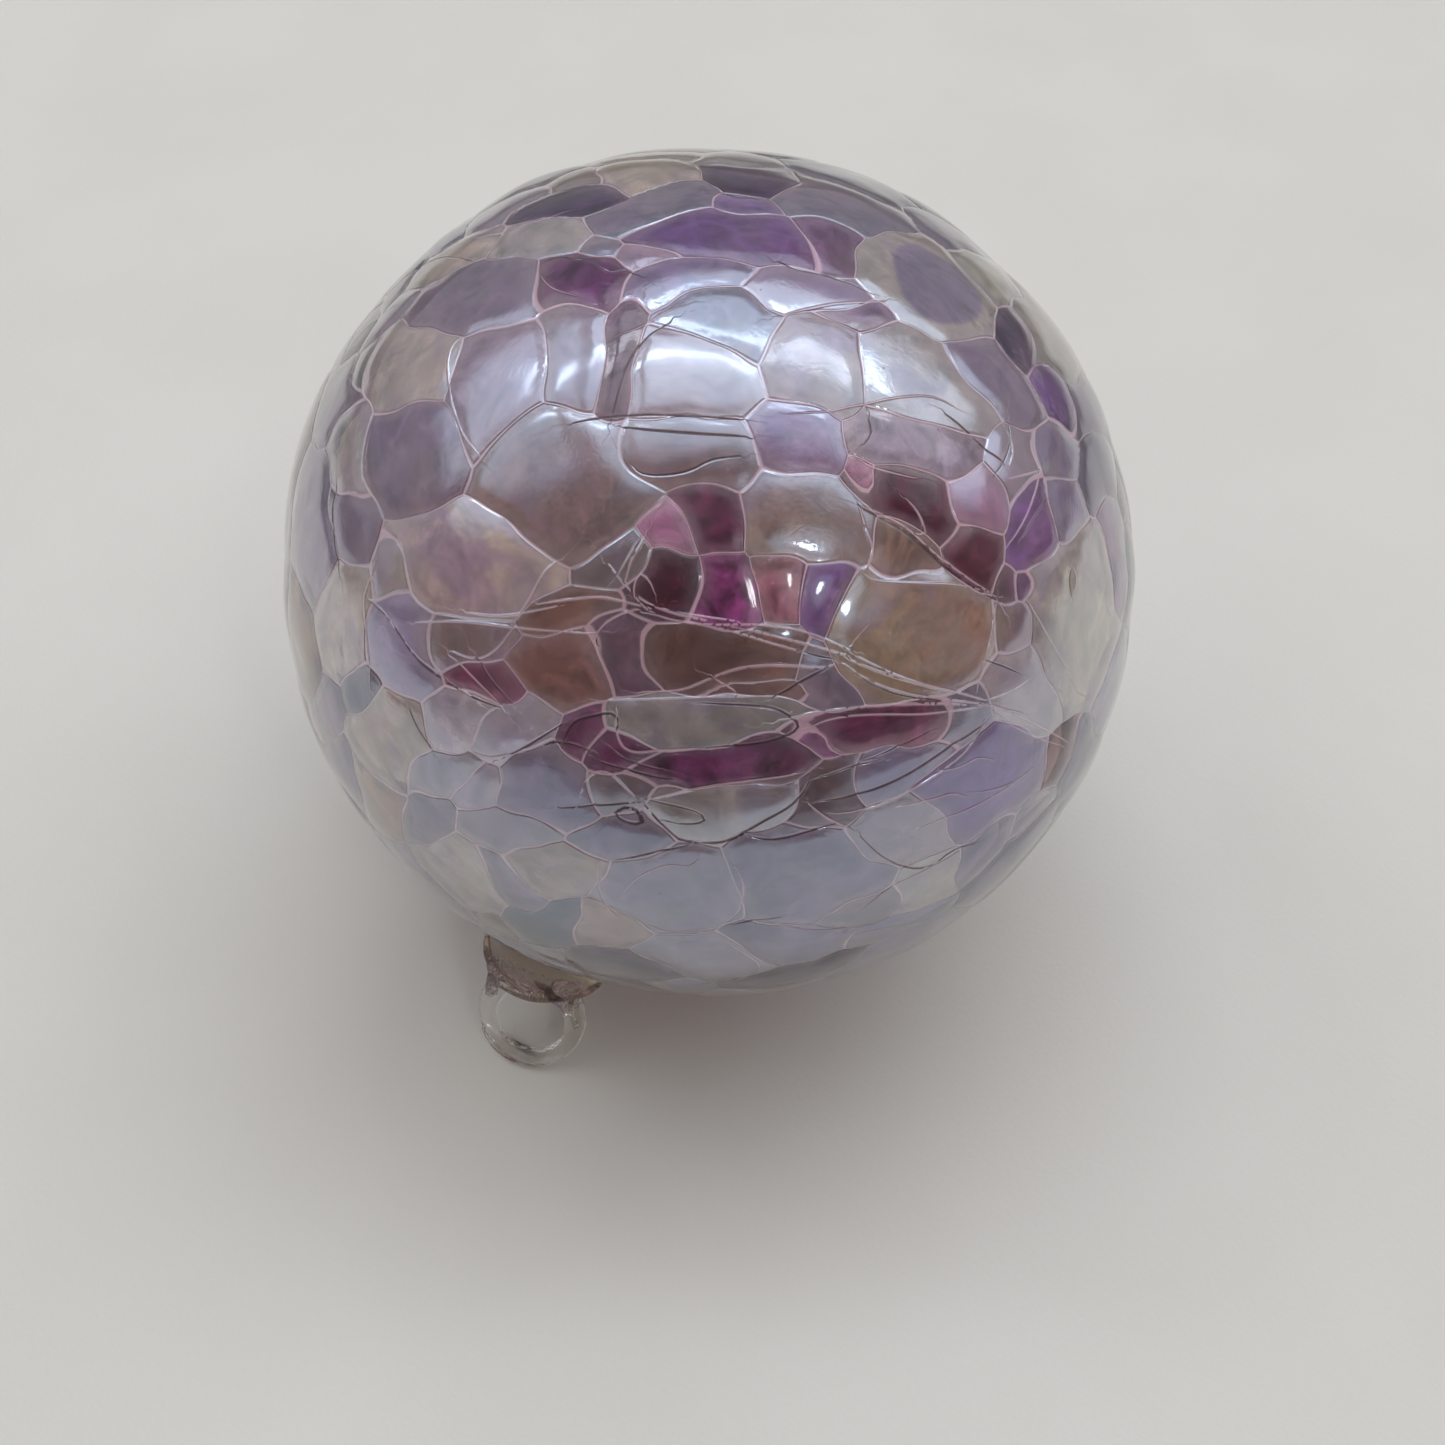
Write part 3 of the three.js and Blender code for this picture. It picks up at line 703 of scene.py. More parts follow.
def lustre_glass():
    m, g, p = material("mottled_lustre_glass")
    here = g.vec("SCALE", g.node("ShaderNodeTexCoord").outputs["Object"], scale=1000.0)  # mm
    a, b, c = g.split(g.attr("chip_dist").outputs["Vector"])
    ab = g.math("MINIMUM", a, b)
    ab_hi = g.math("MAXIMUM", a, b)
    nearest = g.math("MINIMUM", ab, c)
    second = g.math("MAXIMUM", ab, g.math("MINIMUM", ab_hi, c))
    seam = g.math("MULTIPLY", g.math("SUBTRACT", second, nearest), 0.5)  # mm to the seam
    ca, cb, cc = g.attr("chip_a"), g.attr("chip_b"), g.attr("chip_c")
    soft = 0.30
    b_side = g.ramp(g.math("SUBTRACT", a, b), -soft, soft)
    c_side = g.ramp(g.math("SUBTRACT", ab, c), -soft, soft)

    def pick(x, y, z):
        """The value of the nearest chip."""
        for n_in, n_out in ((x, y), (None, z)):
            n = g.node("ShaderNodeMix", data_type="FLOAT")
            g.put(n.inputs[0], b_side if n_in is not None else c_side)
            g.put(n.inputs[2], n_in if n_in is not None else last)
            g.put(n.inputs[3], n_out)
            last = n.outputs[0]
        return last

    colour = g.mix(c_side, g.mix(b_side, ca.outputs["Color"], cb.outputs["Color"]), cc.outputs["Color"])
    milk = pick(ca.outputs["Alpha"], cb.outputs["Alpha"], cc.outputs["Alpha"])
    margin = pick(*g.split(g.attr("margin").outputs["Vector"]))
    lustre = pick(*g.split(g.attr("lustre").outputs["Vector"]))

    # some chips fade out in a margin of pale straw glass
    edge_in = g.ramp(g.math("ADD", nearest, g.math("MULTIPLY", g.noise(here, 0.2, 1.0), 1.2)), -2.3, -1.3)
    colour = g.mix(g.math("MULTIPLY", edge_in, margin), colour, (0.86, 0.80, 0.70, 1))

    # wisps: the dark chips are uneven, with clear and inky places
    wisp = g.noise(here, 0.22, 3.0, 0.55, 1.6)
    ink = g.ramp(lustre, 0.35, 0.75, 1.0, 0.42)
    tone = g.math("ADD", 1.0, g.math("MULTIPLY", g.ramp(wisp, 0.32, 0.72, -0.50, 0.62, smooth=False), ink))
    colour = g.mix(1.0, colour, g.vec("SCALE", (1.0, 1.0, 1.0), scale=tone), blend="MULTIPLY")
    # the pale glass is opal: clouds of lilac and of a greyer, milkier white
    opal = g.noise(here, 0.13, 3.0, 0.55, 1.1)
    pale = g.ramp(lustre, 0.70, 0.95)
    colour = g.mix(g.math("MULTIPLY", g.ramp(opal, 0.50, 0.64, 0.0, 0.42), pale), colour, (0.58, 0.43, 0.66, 1))
    colour = g.mix(g.math("MULTIPLY", g.ramp(opal, 0.34, 0.47, 0.34, 0.0), pale), colour, (0.84, 0.82, 0.78, 1))
    thin = g.ramp(seam, 0.0, 1.6, 0.30, 0.0)
    cloud = g.ramp(g.noise(here, 0.10, 2.0, 0.5, 0.4), 0.38, 0.72, 0.0, 0.22)
    colour = g.mix(g.math("ADD", thin, cloud, clamp=True), colour, (0.93, 0.86, 0.86, 1))

    # the seam: a fine thread of clear pinkish glass, strong in places and gone in others
    vary = g.noise(here, 0.11, 2.0)
    width = g.ramp(vary, 0.34, 0.70, 0.045, 0.17)
    thread = g.ramp(g.math("DIVIDE", seam, width), 0.6, 1.25, 1.0, 0.0)
    s_at, s_half, s_kind = g.split(g.attr("streak").outputs["Vector"])
    s_abs = g.math("ABSOLUTE", s_at)
    cord = g.ramp(g.math("DIVIDE", s_abs, g.math("MAXIMUM", s_half, 0.01)), 0.6, 1.3, 1.0, 0.0)
    bright = g.math("MULTIPLY", cord, g.ramp(s_kind, -0.5, 0.5))
    dark = g.math("MULTIPLY", cord, g.ramp(s_kind, -0.5, 0.5, 1.0, 0.0))
    line = g.math("MAXIMUM", thread, bright)
    # painted shade: a hair of darker colour borders the thread, standing in for the shade of the seam's groove
    reach = g.math("DIVIDE", seam, width)
    seam_shade = g.math("MULTIPLY", g.ramp(reach, 1.1, 1.5), g.ramp(reach, 2.0, 3.4, 1.0, 0.0))
    colour = g.mix(g.math("MULTIPLY", seam_shade, 0.16), colour, (0.26, 0.19, 0.26, 1))
    colour = g.mix(g.math("MULTIPLY", line, 0.80), colour, (0.96, 0.79, 0.84, 1))
    # painted shade: the colour darkens along each crease
    colour = g.mix(g.math("MULTIPLY", dark, 0.75), colour, (0.16, 0.09, 0.12, 1))
    # near the outline light passes through more of the wall
    facing = g.node("ShaderNodeLayerWeight")
    facing.inputs["Blend"].default_value = 0.5
    slant = g.ramp(facing.outputs["Facing"], 0.55, 1.0, 1.0, 0.66)
    colour = g.vec("SCALE", colour, scale=slant)
    squared = g.vec("MULTIPLY", colour, colour)  # the shader tints by the root

    # seeds: tiny bubbles caught in the skin
    v = g.node("ShaderNodeTexVoronoi", feature="F1")
    g.put(v.inputs["Vector"], here)
    v.inputs["Scale"].default_value = 0.55
    seed = g.ramp(v.outputs["Distance"], 0.03, 0.07, 1.0, 0.0)
    seed = g.math("MULTIPLY", seed, g.ramp(g.noise(here, 0.09, 2.0), 0.5, 0.6))

    g.put(p.inputs["Base Color"], squared)
    solid = g.math("ADD", milk, g.math("MULTIPLY", line, 0.42), clamp=True)
    solid = g.math("ADD", solid, g.math("MULTIPLY", seed, 0.3), clamp=True)
    g.put(p.inputs["Transmission Weight"], g.math("SUBTRACT", 1.0, solid))
    rough = g.ramp(g.noise(here, 0.12, 2.0), 0.35, 0.70, 0.09, 0.23)
    g.put(p.inputs["Roughness"], rough)
    p.inputs["IOR"].default_value = 1.5
    p.inputs["Coat Weight"].default_value = 0.7
    p.inputs["Coat Roughness"].default_value = 0.03
    p.inputs["Coat IOR"].default_value = 1.5
    g.put(p.inputs["Thin Film Thickness"], g.math("MULTIPLY", g.math("MULTIPLY", lustre, g.math("SUBTRACT", 1.0, dark)), FILM_NM))
    p.inputs["Thin Film IOR"].default_value = FILM_IOR

    # heights in mm: the seam's groove, cords and creases, seeds, and a faint orange peel
    groove = g.math("MULTIPLY", g.ramp(seam, 0.0, 0.26, -1.0, 0.0), 0.06)
    cut = g.ramp(s_abs, 0.0, g.math("ADD", g.math("MULTIPLY", s_half, 1.6), 0.06), 1.0, 0.0)
    fold = g.math("MULTIPLY", g.math("MULTIPLY", cut, s_kind), 0.07)
    peel = g.math("MULTIPLY", g.noise(here, 0.17, 1.5, 0.40), 0.20)
    grain = g.math("MULTIPLY", g.noise(here, 2.5, 2.0, 0.55), g.ramp(vary, 0.42, 0.58, 0.002, 0.015))
    h = g.math("ADD", g.math("ADD", groove, fold), g.math("ADD", peel, grain))
    h = g.math("ADD", h, g.math("MULTIPLY", seed, 0.05))
    bump = g.node("ShaderNodeBump")
    bump.inputs["Strength"].default_value = 1.0
    bump.inputs["Distance"].default_value = MM
    g.put(bump.inputs["Height"], h)
    g.put(p.inputs["Normal"], bump.outputs[0])
    g.put(p.inputs["Coat Normal"], bump.outputs[0])
    return m


def inner_glass():
    m, g, p = material("inner_glass")
    here = g.vec("SCALE", g.node("ShaderNodeTexCoord").outputs["Object"], scale=1000.0)
    tint = g.mix(g.ramp(g.noise(here, 0.08, 2.0), 0.3, 0.7), (0.99, 0.98, 0.97, 1), (0.95, 0.93, 0.94, 1))
    g.put(p.inputs["Base Color"], tint)
    p.inputs["Transmission Weight"].default_value = 1.0
    g.put(p.inputs["Roughness"], g.ramp(g.noise(here, 0.3, 2.0), 0.3, 0.8, 0.0, 0.03))
    p.inputs["IOR"].default_value = 1.5
    bump = g.node("ShaderNodeBump")
    bump.inputs["Distance"].default_value = MM
    g.put(bump.inputs["Height"], g.math("MULTIPLY", g.noise(here, 0.22, 3.0), 0.20))
    g.put(p.inputs["Normal"], bump.outputs[0])
    return m


FILM_NM = 29.0
FILM_IOR = 2.4
ball = build_ball()
ball.data.materials.append(lustre_glass())
ball.data.materials.append(inner_glass())
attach(ball, "root")
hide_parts("ball_shell")

# ---------------------------------------------------------------- hanger
def tube(path, radii, sides=20):
    """A closed tube along points, with a radius at each and round ends."""
    path, radii = np.asarray(path, float), np.asarray(radii, float)
    tang = np.gradient(path, axis=0)
    tang = unit(tang)
    ref = np.array([0.0, 1.0, 0.0])
    rings = []
    n_prev = unit(np.cross(tang[0], ref) + 1e-9)
    for p, t, r in zip(path, tang, radii):
        n = n_prev - t * (n_prev @ t)
        n = unit(n)
        b = np.cross(t, n)
        n_prev = n
        a = np.linspace(0, 2 * math.pi, sides, endpoint=False)
        rings.append(p + r * (np.cos(a)[:, None] * n + np.sin(a)[:, None] * b))
    verts = np.concatenate(rings + [path[:1] - tang[:1] * radii[0] * 0.5, path[-1:] + tang[-1:] * radii[-1] * 0.5])
    faces = []
    m = len(path)
    for i in range(m - 1):
        for j in range(sides):
            k = (j + 1) % sides
            a, b, c, d = i * sides + j, i * sides + k, (i + 1) * sides + k, (i + 1) * sides + j
            faces += [(a, b, c), (a, c, d)]
    s, e = m * sides, m * sides + 1
    for j in range(sides):
        k = (j + 1) % sides
        faces.append((s, k, j))
        faces.append((e, (m - 1) * sides + j, (m - 1) * sides + k))
    return verts, np.array(faces)


def turned(profile, sides=72):
    """A profile of (radius, height) turned about the pole axis, starting and ending on it."""
    profile = np.asarray(profile, float)
    a = np.linspace(0, 2 * math.pi, sides, endpoint=False)
    verts = [np.array([[0, 0, profile[0, 1]]])]
    for r, z in profile[1:-1]:
        verts.append(np.stack([r * np.cos(a), r * np.sin(a), np.full(sides, z)], -1))
    verts.append(np.array([[0, 0, profile[-1, 1]]]))
    verts = np.concatenate(verts)
    faces = []
    rings = len(profile) - 2
    for j in range(sides):
        k = (j + 1) % sides
        faces.append((0, 1 + k, 1 + j))
        for i in range(rings - 1):
            p, q = 1 + i * sides, 1 + (i + 1) * sides
            faces += [(p + j, p + k, q + k), (p + j, q + k, q + j)]
        last = 1 + (rings - 1) * sides
        faces.append((len(verts) - 1, last + j, last + k))
    return verts, np.array(faces)


def seat(r):
    return BALL_R_POLE * math.sqrt(1 - (r / BALL_R) ** 2)


NUB = np.array([(-4.9, 5.5, 55.4), (-3.5, 6.5, 59.6)])


def build_hanger():
    parts = []
    # the pad: a dollop of glass, sunk a hair into the ball's skin, with a rolled foot
    under = [(0.0, 49.0)] + [(r, seat(r) - 0.25) for r in (2, 4, 6, 8, 9.6)]
    side = [(10.5, seat(10.5) + 0.05), (10.6, seat(10.5) + 0.7), (10.05, 50.5), (9.4, 51.6), (8.85, 53.0), (8.4, 54.4), (7.9, 55.7), (7.1, 56.8), (5.9, 57.6), (4.2, 58.1), (2.1, 58.35), (0.0, 58.4)]
    v, f = turned(under + side)
    ang = np.arctan2(v[:, 1], v[:, 0])
    h = np.clip((v[:, 2] - 50) / 6, 0, 1)
    lump = 1 + h * (0.045 * np.sin(2 * ang + 0.6) + 0.03 * np.sin(3 * ang + 2.0) + 0.012 * np.sin(7 * ang + 4 * h))
    v[:, :2] *= lump[:, None]
    v[:, 2] -= 0.20 * np.clip(v[:, 0] + 1, 0, 12) * h  # it droops to the right
    parts.append((leant(v), f))

    # the loop: a trail that rises from the pad, goes round and comes back down to it
    t = np.linspace(0.012, 0.988, 150)
    a = t * 2 * math.pi + math.pi
    path = np.stack([LOOP_HALF_W * np.sin(a), 0.25 * np.sin(2 * a), LOOP_CENTRE + LOOP_HALF_L * np.cos(a)], -1)
    share = (1 - np.cos(a)) / 2
    rad = ROD_R_TIP + (ROD_R_FOOT - ROD_R_TIP) * np.minimum(1, share * 1.6)
    rad = rad * (1 + 0.05 * np.sin(3 * a + 1)) + 0.9 * np.exp(-(((path[:, 2] - 57.6) / 1.3) ** 2)) * 0.8
    c, s = math.cos(LOOP_TWIST), math.sin(LOOP_TWIST)
    path = np.stack([path[:, 0] * c - path[:, 1] * s, path[:, 0] * s + path[:, 1] * c, path[:, 2]], -1)
    v, f = tube(leant(path), rad)
    parts.append((v, f))

    def cord(points, radii, sides=12, steps=60, laid=True):
        """A tube along a smooth line through points."""
        pts = np.asarray(points, float)
        for _ in range(3):
            mid = [pts[:1]]
            for p, q in zip(pts[:-1], pts[1:]):
                mid.append(np.array([0.75 * p + 0.25 * q, 0.25 * p + 0.75 * q]))
            pts = np.concatenate(mid + [pts[-1:]])
        run = np.concatenate([[0], np.cumsum(np.linalg.norm(np.diff(pts, axis=0), axis=1))])
        s = np.linspace(0, 1, steps)
        path = np.stack([np.interp(s * run[-1], run, pts[:, i]) for i in range(3)], -1)
        if laid:  # drawn in with the pad's taper
            path = np.stack([0.94 * path[:, 0], 0.94 * path[:, 1], 50 + 0.89 * (path[:, 2] - 50)], -1)
        parts.append(tube(leant(path), np.interp(s, np.linspace(0, 1, len(radii)), radii), sides))

    # the trail's sheared end, pressed flat and notched by the shears
    ends = NUB
    t = np.linspace(0, 1, 60)
    path = ends[0] + (ends[1] - ends[0]) * t[:, None]
    rad = 0.98 * (1 - 0.22 * np.abs(np.sin(t * 8 * math.pi))) * np.where(t > 0.95, 0.85, 1) * (0.75 + 0.3 * t)
    v, f = tube(leant(path), rad, 20)
    parts.append((v, f))
    for i in range(7):
        u = 0.22 + 0.11 * i
        p = ends[0] + (ends[1] - ends[0]) * u
        w = 0.74 * (0.8 + 0.25 * u)
        cord([p + (-w, 0.5, -0.35), p + (0, w + 0.3, 0.0), p + (w, 0.5, 0.35)], [0.14, 0.24, 0.14], 8, 14, laid=False)

    # the lap: the edge of the trail where it was laid over the pad, from the sheared end round to the right
    cord([(-7.2, 4.2, 56.0), (-5.4, 5.8, 57.9), (-3.0, 6.6, 58.8), (1.0, 6.9, 58.5), (4.4, 6.4, 57.3), (6.9, 5.0, 56.1), (8.6, 3.2, 54.8), (9.2, 1.6, 53.2)], [0.55, 0.75, 0.6, 0.7, 0.6, 0.5, 0.35], 14, 90)
    cord([(-6.6, 5.2, 56.4), (-4.0, 7.2, 57.6), (-1.0, 7.9, 57.3), (1.8, 7.6, 57.8)], [0.2, 0.45, 0.3, 0.1], 12, 50)
    cord([(-1.9, 8.2, 55.9), (0.6, 8.2, 56.6), (3.8, 7.1, 57.3)], [0.1, 0.62, 0.1], 14, 50)
    cord([(-8.4, 4.2, 53.2), (-7.9, 4.9, 55.2), (-6.4, 6.2, 56.6), (-4.4, 7.2, 57.2)], [0.15, 0.35, 0.35, 0.15], 10, 40)
    # and the swirl where it was pressed in
    middle = np.array([7.0, 5.5, 54.0])
    u, w = np.array([0.67, -0.74, 0.0]), np.array([0.15, 0.12, 0.98])
    for ru, rw, thick, start, turn in ((2.5, 1.25, 0.42, 0.4, 5.2), (1.6, 0.8, 0.36, 2.2, 5.6), (0.8, 0.35, 0.30, 3.6, 5.8)):
        a = np.linspace(start, start + turn, 40)
        ring = middle + ru * np.cos(a)[:, None] * u + rw * np.sin(a)[:, None] * w
        ring[:, :2] *= (8.75 - 0.16 * np.clip(ring[:, 2] - 53, 0, 5) ** 2)[:, None] / np.hypot(ring[:, 0], ring[:, 1])[:, None]
        parts.append(tube(leant(ring), thick * np.sin(np.linspace(0.25, math.pi - 0.25, 40)) ** 0.5, 10))
    # a bead of glass that ran down onto the right leg of the loop
    cord([(5.2, 1.6, 57.0), (6.0, 2.5, 58.2), (6.9, 2.5, 59.3), (7.5, 2.1, 60.2)], [0.55, 0.34, 0.36, 0.50], 12, 40, laid=False)
    # the loop was pinched shut at its tip: two fine ridges run along the inside
    for mid, half, r_in, up, thick in ((2 * math.pi - 0.05, 0.70, 1.0, 0.35, 0.50), (2 * math.pi + 0.80, 0.62, 0.95, 0.75, 0.44), (2 * math.pi - 0.2, 0.85, -0.90, 0.8, 0.32)):
        a = np.linspace(mid - half, mid + half, 60)
        r = ROD_R_TIP * r_in
        ridge = np.stack([(LOOP_HALF_W - r) * np.sin(a), np.full(60, up), LOOP_CENTRE + (LOOP_HALF_L - r) * np.cos(a)], -1)
        ridge = np.stack([ridge[:, 0] * c - ridge[:, 1] * s, ridge[:, 0] * s + ridge[:, 1] * c, ridge[:, 2]], -1)
        parts.append(tube(leant(ridge), thick * np.sin(np.linspace(0.2, math.pi - 0.2, 60)) ** 0.6, 12))

    verts, faces, k = [], [], 0
    for v, f in parts:
        verts.append(v)
        faces.append(f + k)
        k += len(v)
    verts, faces = np.concatenate(verts), np.concatenate(faces)
    # fused at ten times its size, where the remesh has room to work
    big = add_mesh("clear_hanger", verts, faces)
    big.data.transform(Matrix.Scale(0.1 / MM, 4))
    m = big.modifiers.new("fuse", "REMESH")
    m.mode = "VOXEL"
    m.voxel_size = 0.0146
    m.use_smooth_shade = True
    s = big.modifiers.new("melt", "SMOOTH")
    s.factor = 0.5
    s.iterations = 5
    dg = bpy.context.evaluated_depsgraph_get()
    dg.update()
    mesh = bpy.data.meshes.new_from_object(big.evaluated_get(dg))
    big.modifiers.clear()
    big.data = mesh
    co = np.empty(len(mesh.vertices) * 3, np.float32)
    mesh.vertices.foreach_get("co", co)
    co = co.reshape(-1, 3).astype(float) * 10  # back to mm
    row = to_row(co)
    row[:, 2] = np.maximum(row[:, 2], 0.03)
    mesh.vertices.foreach_set("co", (row * MM).astype(np.float32).ravel())
    mesh.polygons.foreach_set("use_smooth", np.ones(len(mesh.polygons), bool))
    mesh.update()
    print("hanger", len(mesh.polygons), "faces", row.min(0).round(2), row.max(0).round(2))
    return big


def clear_glass():
    m, g, p = material("clear_hanger_glass")
    here = g.vec("SCALE", g.node("ShaderNodeTexCoord").outputs["Object"], scale=1000.0)
    # the pad holds a breath of amber near the ball; the loop is clear
    up_pole = g.vec("DOT_PRODUCT", g.vec("SUBTRACT", here, tuple(CENTRE)), tuple(POLE))
    low = g.ramp(g.math("ADD", up_pole, g.noise(here, 0.25, 2.0)), 57.0, 59.5, 1.0, 0.0)
    tint = g.mix(low, (0.985, 0.975, 0.955, 1), (0.80, 0.70, 0.50, 1))
    # a leaf of plum glass under the lap
    leaf_mid = to_row(leant(np.array([[4.1, 6.3, 55.3]])))[0]
    along = unit(to_row(np.array([[6.3, -3.9, 2.9]]))[0] - CENTRE)
    off = g.vec("SUBTRACT", here, tuple(leaf_mid))
    run = g.vec("DOT_PRODUCT", off, tuple(along))
    away = g.vec("LENGTH", g.vec("SUBTRACT", off, g.vec("SCALE", tuple(along), scale=run)))
    leaf = g.math("ADD", g.math("DIVIDE", away, g.ramp(run, -3.6, 2.6, 0.45, 1.35, smooth=False)), g.math("POWER", g.math("DIVIDE", run, 3.7), 2.0))
    tint = g.mix(g.ramp(leaf, 0.75, 1.0, 0.96, 0.0), tint, (0.09, 0.035, 0.055, 1))
    # painted highlight: a pale patch high on the left of the pad stands in for a reflection
    pale = to_row(leant(np.array([[-4.4, 8.4, 51.4]])))[0]
    spot = g.vec("LENGTH", g.vec("SUBTRACT", here, tuple(pale)))
    tint = g.mix(g.ramp(g.math("ADD", spot, g.noise(here, 0.5, 2.0)), 1.5, 2.3, 1.0, 0.0), tint, (0.98, 0.98, 0.95, 1))
    # the sheared end is full of fine seeds, and painted shade darkens it; at the tip of the loop a painted grey shade
    # stands in for the dark band that refraction shows there
    q = to_row(leant(NUB))
    q_dir = unit(q[1] - q[0])
    off = g.vec("SUBTRACT", here, tuple(q.mean(0)))
    run = g.vec("DOT_PRODUCT", off, tuple(q_dir))
    away = g.vec("LENGTH", g.vec("SUBTRACT", off, g.vec("SCALE", tuple(q_dir), scale=run)))
    nub = g.math("MULTIPLY", g.ramp(away, 0.9, 1.25, 1.0, 0.0), g.ramp(g.math("ABSOLUTE", run), 2.0, 2.6, 1.0, 0.0))
    fizz = g.ramp(g.noise(here, 2.6, 2.0), 0.42, 0.60)
    tint = g.mix(g.math("MULTIPLY", nub, 0.85), tint, g.mix(fizz, (0.30, 0.22, 0.22, 1), (0.98, 0.94, 0.92, 1)))
    # painted shade: a dark grey band inside the tip of the loop, standing in for what refraction shows there
    tip = to_row(leant(np.array([[0.0, 0.3, LOOP_CENTRE + LOOP_HALF_L - ROD_R_TIP * 1.15]])))[0]
    side_dir = unit(to_row(leant(np.array([[1.0, 0.0, 0.0]])))[0] - to_row(leant(np.array([[0.0, 0.0, 0.0]])))[0])
    off = g.vec("SUBTRACT", here, tuple(tip))
    run = g.vec("DOT_PRODUCT", off, tuple(side_dir))
    away = g.vec("LENGTH", g.vec("SUBTRACT", off, g.vec("SCALE", tuple(side_dir), scale=run)))
    tip_shade_reach = g.math("ADD", g.math("DIVIDE", away, 0.75), g.math("POWER", g.math("DIVIDE", run, 3.2), 2.0))
    tint = g.mix(g.ramp(tip_shade_reach, 0.7, 1.2, 0.9, 0.0), tint, (0.20, 0.17, 0.17, 1))
    # creases in the lap: grooves in the relief, with painted shade darkening the colour in them
    fold = g.math("ABSOLUTE", g.math("SUBTRACT", g.noise(here, 0.42, 3.0, 0.5, 2.2), 0.5))
    crease = g.math("MULTIPLY", g.ramp(fold, 0.0, 0.045, 1.0, 0.0), g.math("MULTIPLY", g.ramp(up_pole, 53.5, 55.5), g.ramp(up_pole, 58.6, 59.4, 1.0, 0.0)))
    tint = g.mix(g.math("MULTIPLY", crease, 0.9), tint, (0.14, 0.09, 0.08, 1))
    # painted shade: the colour darkens toward the outline of each rod, standing in for the dark edges that refraction
    # gives
    facing = g.node("ShaderNodeLayerWeight")
    facing.inputs["Blend"].default_value = 0.5
    tint = g.vec("SCALE", tint, scale=g.ramp(facing.outputs["Facing"], 0.70, 0.97, 1.0, 0.35))
    g.put(p.inputs["Base Color"], tint)
    p.inputs["Transmission Weight"].default_value = 1.0
    g.put(p.inputs["Roughness"], g.ramp(g.noise(here, 0.9, 2.0), 0.3, 0.8, 0.0, 0.02))
    p.inputs["IOR"].default_value = 1.58
    bump = g.node("ShaderNodeBump")
    bump.inputs["Distance"].default_value = MM
    cords = g.math("MULTIPLY", g.noise(here, 0.55, 3.0, 0.5, 1.2), 0.10)
    cords = g.math("ADD", cords, g.math("ADD", g.math("MULTIPLY", crease, -0.12), g.math("MULTIPLY", g.math("MULTIPLY", nub, fizz), 0.10)))
    g.put(bump.inputs["Height"], cords)
    g.put(p.inputs["Normal"], bump.outputs[0])
    return m


hanger = build_hanger()
hanger.data.materials.clear()
hanger.data.materials.append(clear_glass())
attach(hanger, "root")
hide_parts("hanger_pad", "hanger_loop", "trail_end")

# ---------------------------------------------------------------- surface and light
def build_floor():
    r = 4000.0
    floor = add_mesh("surface", [(-r, -r, 0), (r, -r, 0), (r, r, 0), (-r, r, 0)], [(0, 1, 2), (0, 2, 3)], smooth=False)
    m, g, p = material("pale_card")
    here = g.vec("SCALE", g.node("ShaderNodeTexCoord").outputs["Object"], scale=1000.0)
    c = g.mix(g.ramp(g.noise(here, 0.02, 3.0), 0.3, 0.7), (0.775, 0.757, 0.700, 1), (0.805, 0.787, 0.730, 1))
    # painted light: the floor's colour is lifted round the loop and the pad, a pool of light where the glass would
    # gather light onto it
    light_pool_reach = g.vec("LENGTH", g.vec("SUBTRACT", g.vec("MULTIPLY", here, (1, 1, 0)), (2.0, -43.0, 0.0)))
    c = g.vec("SCALE", c, scale=g.ramp(light_pool_reach, 4.0, 24.0, 1.15, 1.0))
    # what the glass shows of it ends at the table's edge; seen directly it runs on
    reach = g.vec("LENGTH", g.vec("MULTIPLY", here, (1, 1, 0)))
    beyond = g.math("MULTIPLY", g.ramp(reach, 300.0, 700.0), g.math("SUBTRACT", 1.0, g.node("ShaderNodeLightPath").outputs["Is Camera Ray"]))
    c = g.mix(g.math("MULTIPLY", beyond, 0.8), c, (0.08, 0.07, 0.065, 1))
    g.put(p.inputs["Base Color"], c)
    p.inputs["Roughness"].default_value = 0.85
    p.inputs["Specular IOR Level"].default_value = 0.2
    bump = g.node("ShaderNodeBump")
    bump.inputs["Distance"].default_value = MM
    bump.inputs["Strength"].default_value = 0.4
    g.put(bump.inputs["Height"], g.math("MULTIPLY", g.noise(here, 1.4, 3.0), 0.12))
    g.put(p.inputs["Normal"], bump.outputs[0])
    floor.data.materials.append(m)


build_floor()


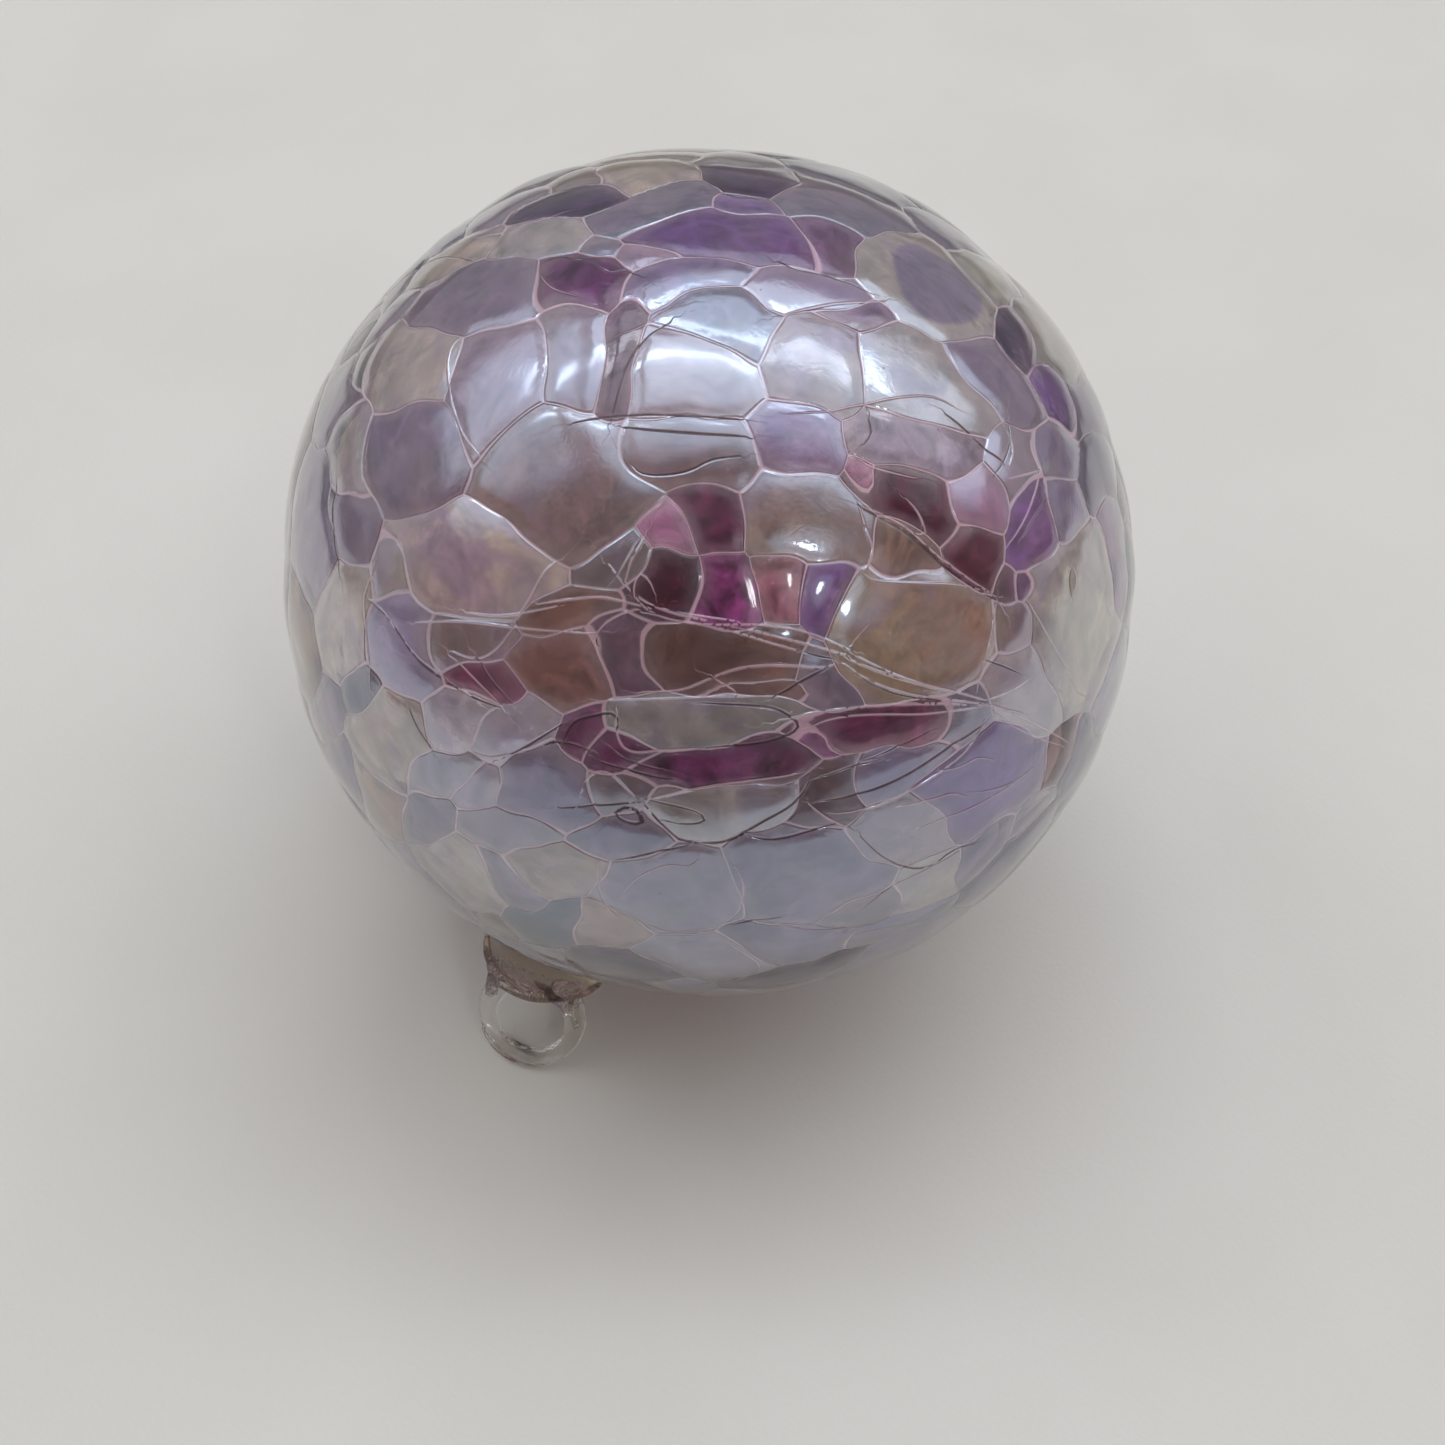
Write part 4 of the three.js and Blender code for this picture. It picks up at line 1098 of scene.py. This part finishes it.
def light_the_room():
    """A bright, slightly blue window side behind and above the ball, and a dim warm room on the near side."""
    w = bpy.data.worlds.new("room")
    bpy.context.scene.world = w
    w.use_nodes = True
    g = Graph(w.node_tree)
    out = g.node("ShaderNodeOutputWorld")
    d = g.node("ShaderNodeTexCoord").outputs["Generated"]
    x, y, z = g.split(d)
    away = (-math.sin(yaw), math.cos(yaw), 0.0)
    across = (math.cos(yaw), math.sin(yaw), 0.0)
    gg = g.vec("DOT_PRODUCT", d, away)
    ss = g.vec("DOT_PRODUCT", d, across)
    # a glazed ceiling: places on it are u across and v ahead, in units of its height
    high = g.math("MAXIMUM", z, 0.05)
    u = g.math("DIVIDE", ss, high)
    v = g.math("DIVIDE", gg, high)
    window = g.math("MULTIPLY", g.ramp(v, -0.40, 0.22), g.ramp(v, 0.80, 1.05, 1.0, 0.0))
    window = g.math("MULTIPLY", window, g.math("MULTIPLY", g.ramp(u, -2.1, -1.5), g.ramp(u, 1.5, 2.4, 1.0, 0.0)))
    beam = g.math("MULTIPLY", g.ramp(u, -0.60, -0.52), g.ramp(u, -0.44, -0.36, 1.0, 0.0))
    window = g.math("MULTIPLY", window, g.math("SUBTRACT", 1.0, g.math("MULTIPLY", beam, 0.75)))
    window = g.math("MULTIPLY", window, g.ramp(z, 0.1, 0.3))
    window = g.math("MULTIPLY", window, g.ramp(u, -0.75, -0.30, 0.62, 1.0))
    far_low = g.ramp(gg, -0.30, 0.25)
    low = g.mix(far_low, NEAR_ROOM, FAR_ROOM)
    colour = g.mix(window, low, WINDOW)
    # strip lights across the ceiling
    strip = g.math("MULTIPLY", g.ramp(v, 0.31, 0.35), g.ramp(v, 0.45, 0.49, 1.0, 0.0))
    strip = g.math("MULTIPLY", strip, g.math("MULTIPLY", g.ramp(u, -0.95, -0.80), g.ramp(u, 0.72, 0.78, 1.0, 0.0)))
    strip = g.math("MULTIPLY", strip, g.math("SUBTRACT", 1.0, beam))
    strip = g.math("MULTIPLY", strip, g.ramp(z, 0.1, 0.3))
    colour = g.mix(strip, colour, STRIP)
    # a small lamp high on the near right
    lamp_dir = []
    az, el = math.radians(144), math.radians(47)
    lamp = tuple(
        math.cos(el) * (math.cos(az) * a + math.sin(az) * b) + math.sin(el) * c
        for a, b, c in zip(away, across, (0, 0, 1))
    )
    near_lamp = g.vec("DOT_PRODUCT", d, lamp)
    glow = g.ramp(near_lamp, math.cos(math.radians(16)), math.cos(math.radians(6)))
    colour = g.mix(glow, colour, (0.8, 0.8, 0.82, 1))
    spot = g.ramp(near_lamp, math.cos(math.radians(3.2)), math.cos(math.radians(2.2)))
    colour = g.mix(spot, colour, (14.0, 14.2, 14.6, 1))
    bg = g.node("ShaderNodeBackground")
    g.put(bg.inputs["Color"], colour)
    seen = g.node("ShaderNodeBackground")
    seen.inputs["Color"].default_value = (0.68, 0.67, 0.65, 1)
    pick = g.node("ShaderNodeMixShader")
    g.t.links.new(g.node("ShaderNodeLightPath").outputs["Is Camera Ray"], pick.inputs[0])
    g.t.links.new(bg.outputs[0], pick.inputs[1])
    g.t.links.new(seen.outputs[0], pick.inputs[2])
    g.t.links.new(pick.outputs[0], out.inputs[0])


WINDOW = (1.52, 1.56, 1.66, 1)
STRIP = (4.9, 5.1, 5.5, 1)
FAR_ROOM = (0.34, 0.335, 0.34, 1)
NEAR_ROOM = (0.180, 0.148, 0.124, 1)
light_the_room()
scene = bpy.context.scene
scene.view_settings.view_transform = "Standard"
scene.view_settings.look = "None"
scene.cycles.max_bounces = 24
scene.cycles.transmission_bounces = 20
scene.cycles.glossy_bounces = 10
scene.cycles.diffuse_bounces = 3
scene.cycles.transparent_max_bounces = 16

bpy.context.view_layer.update()
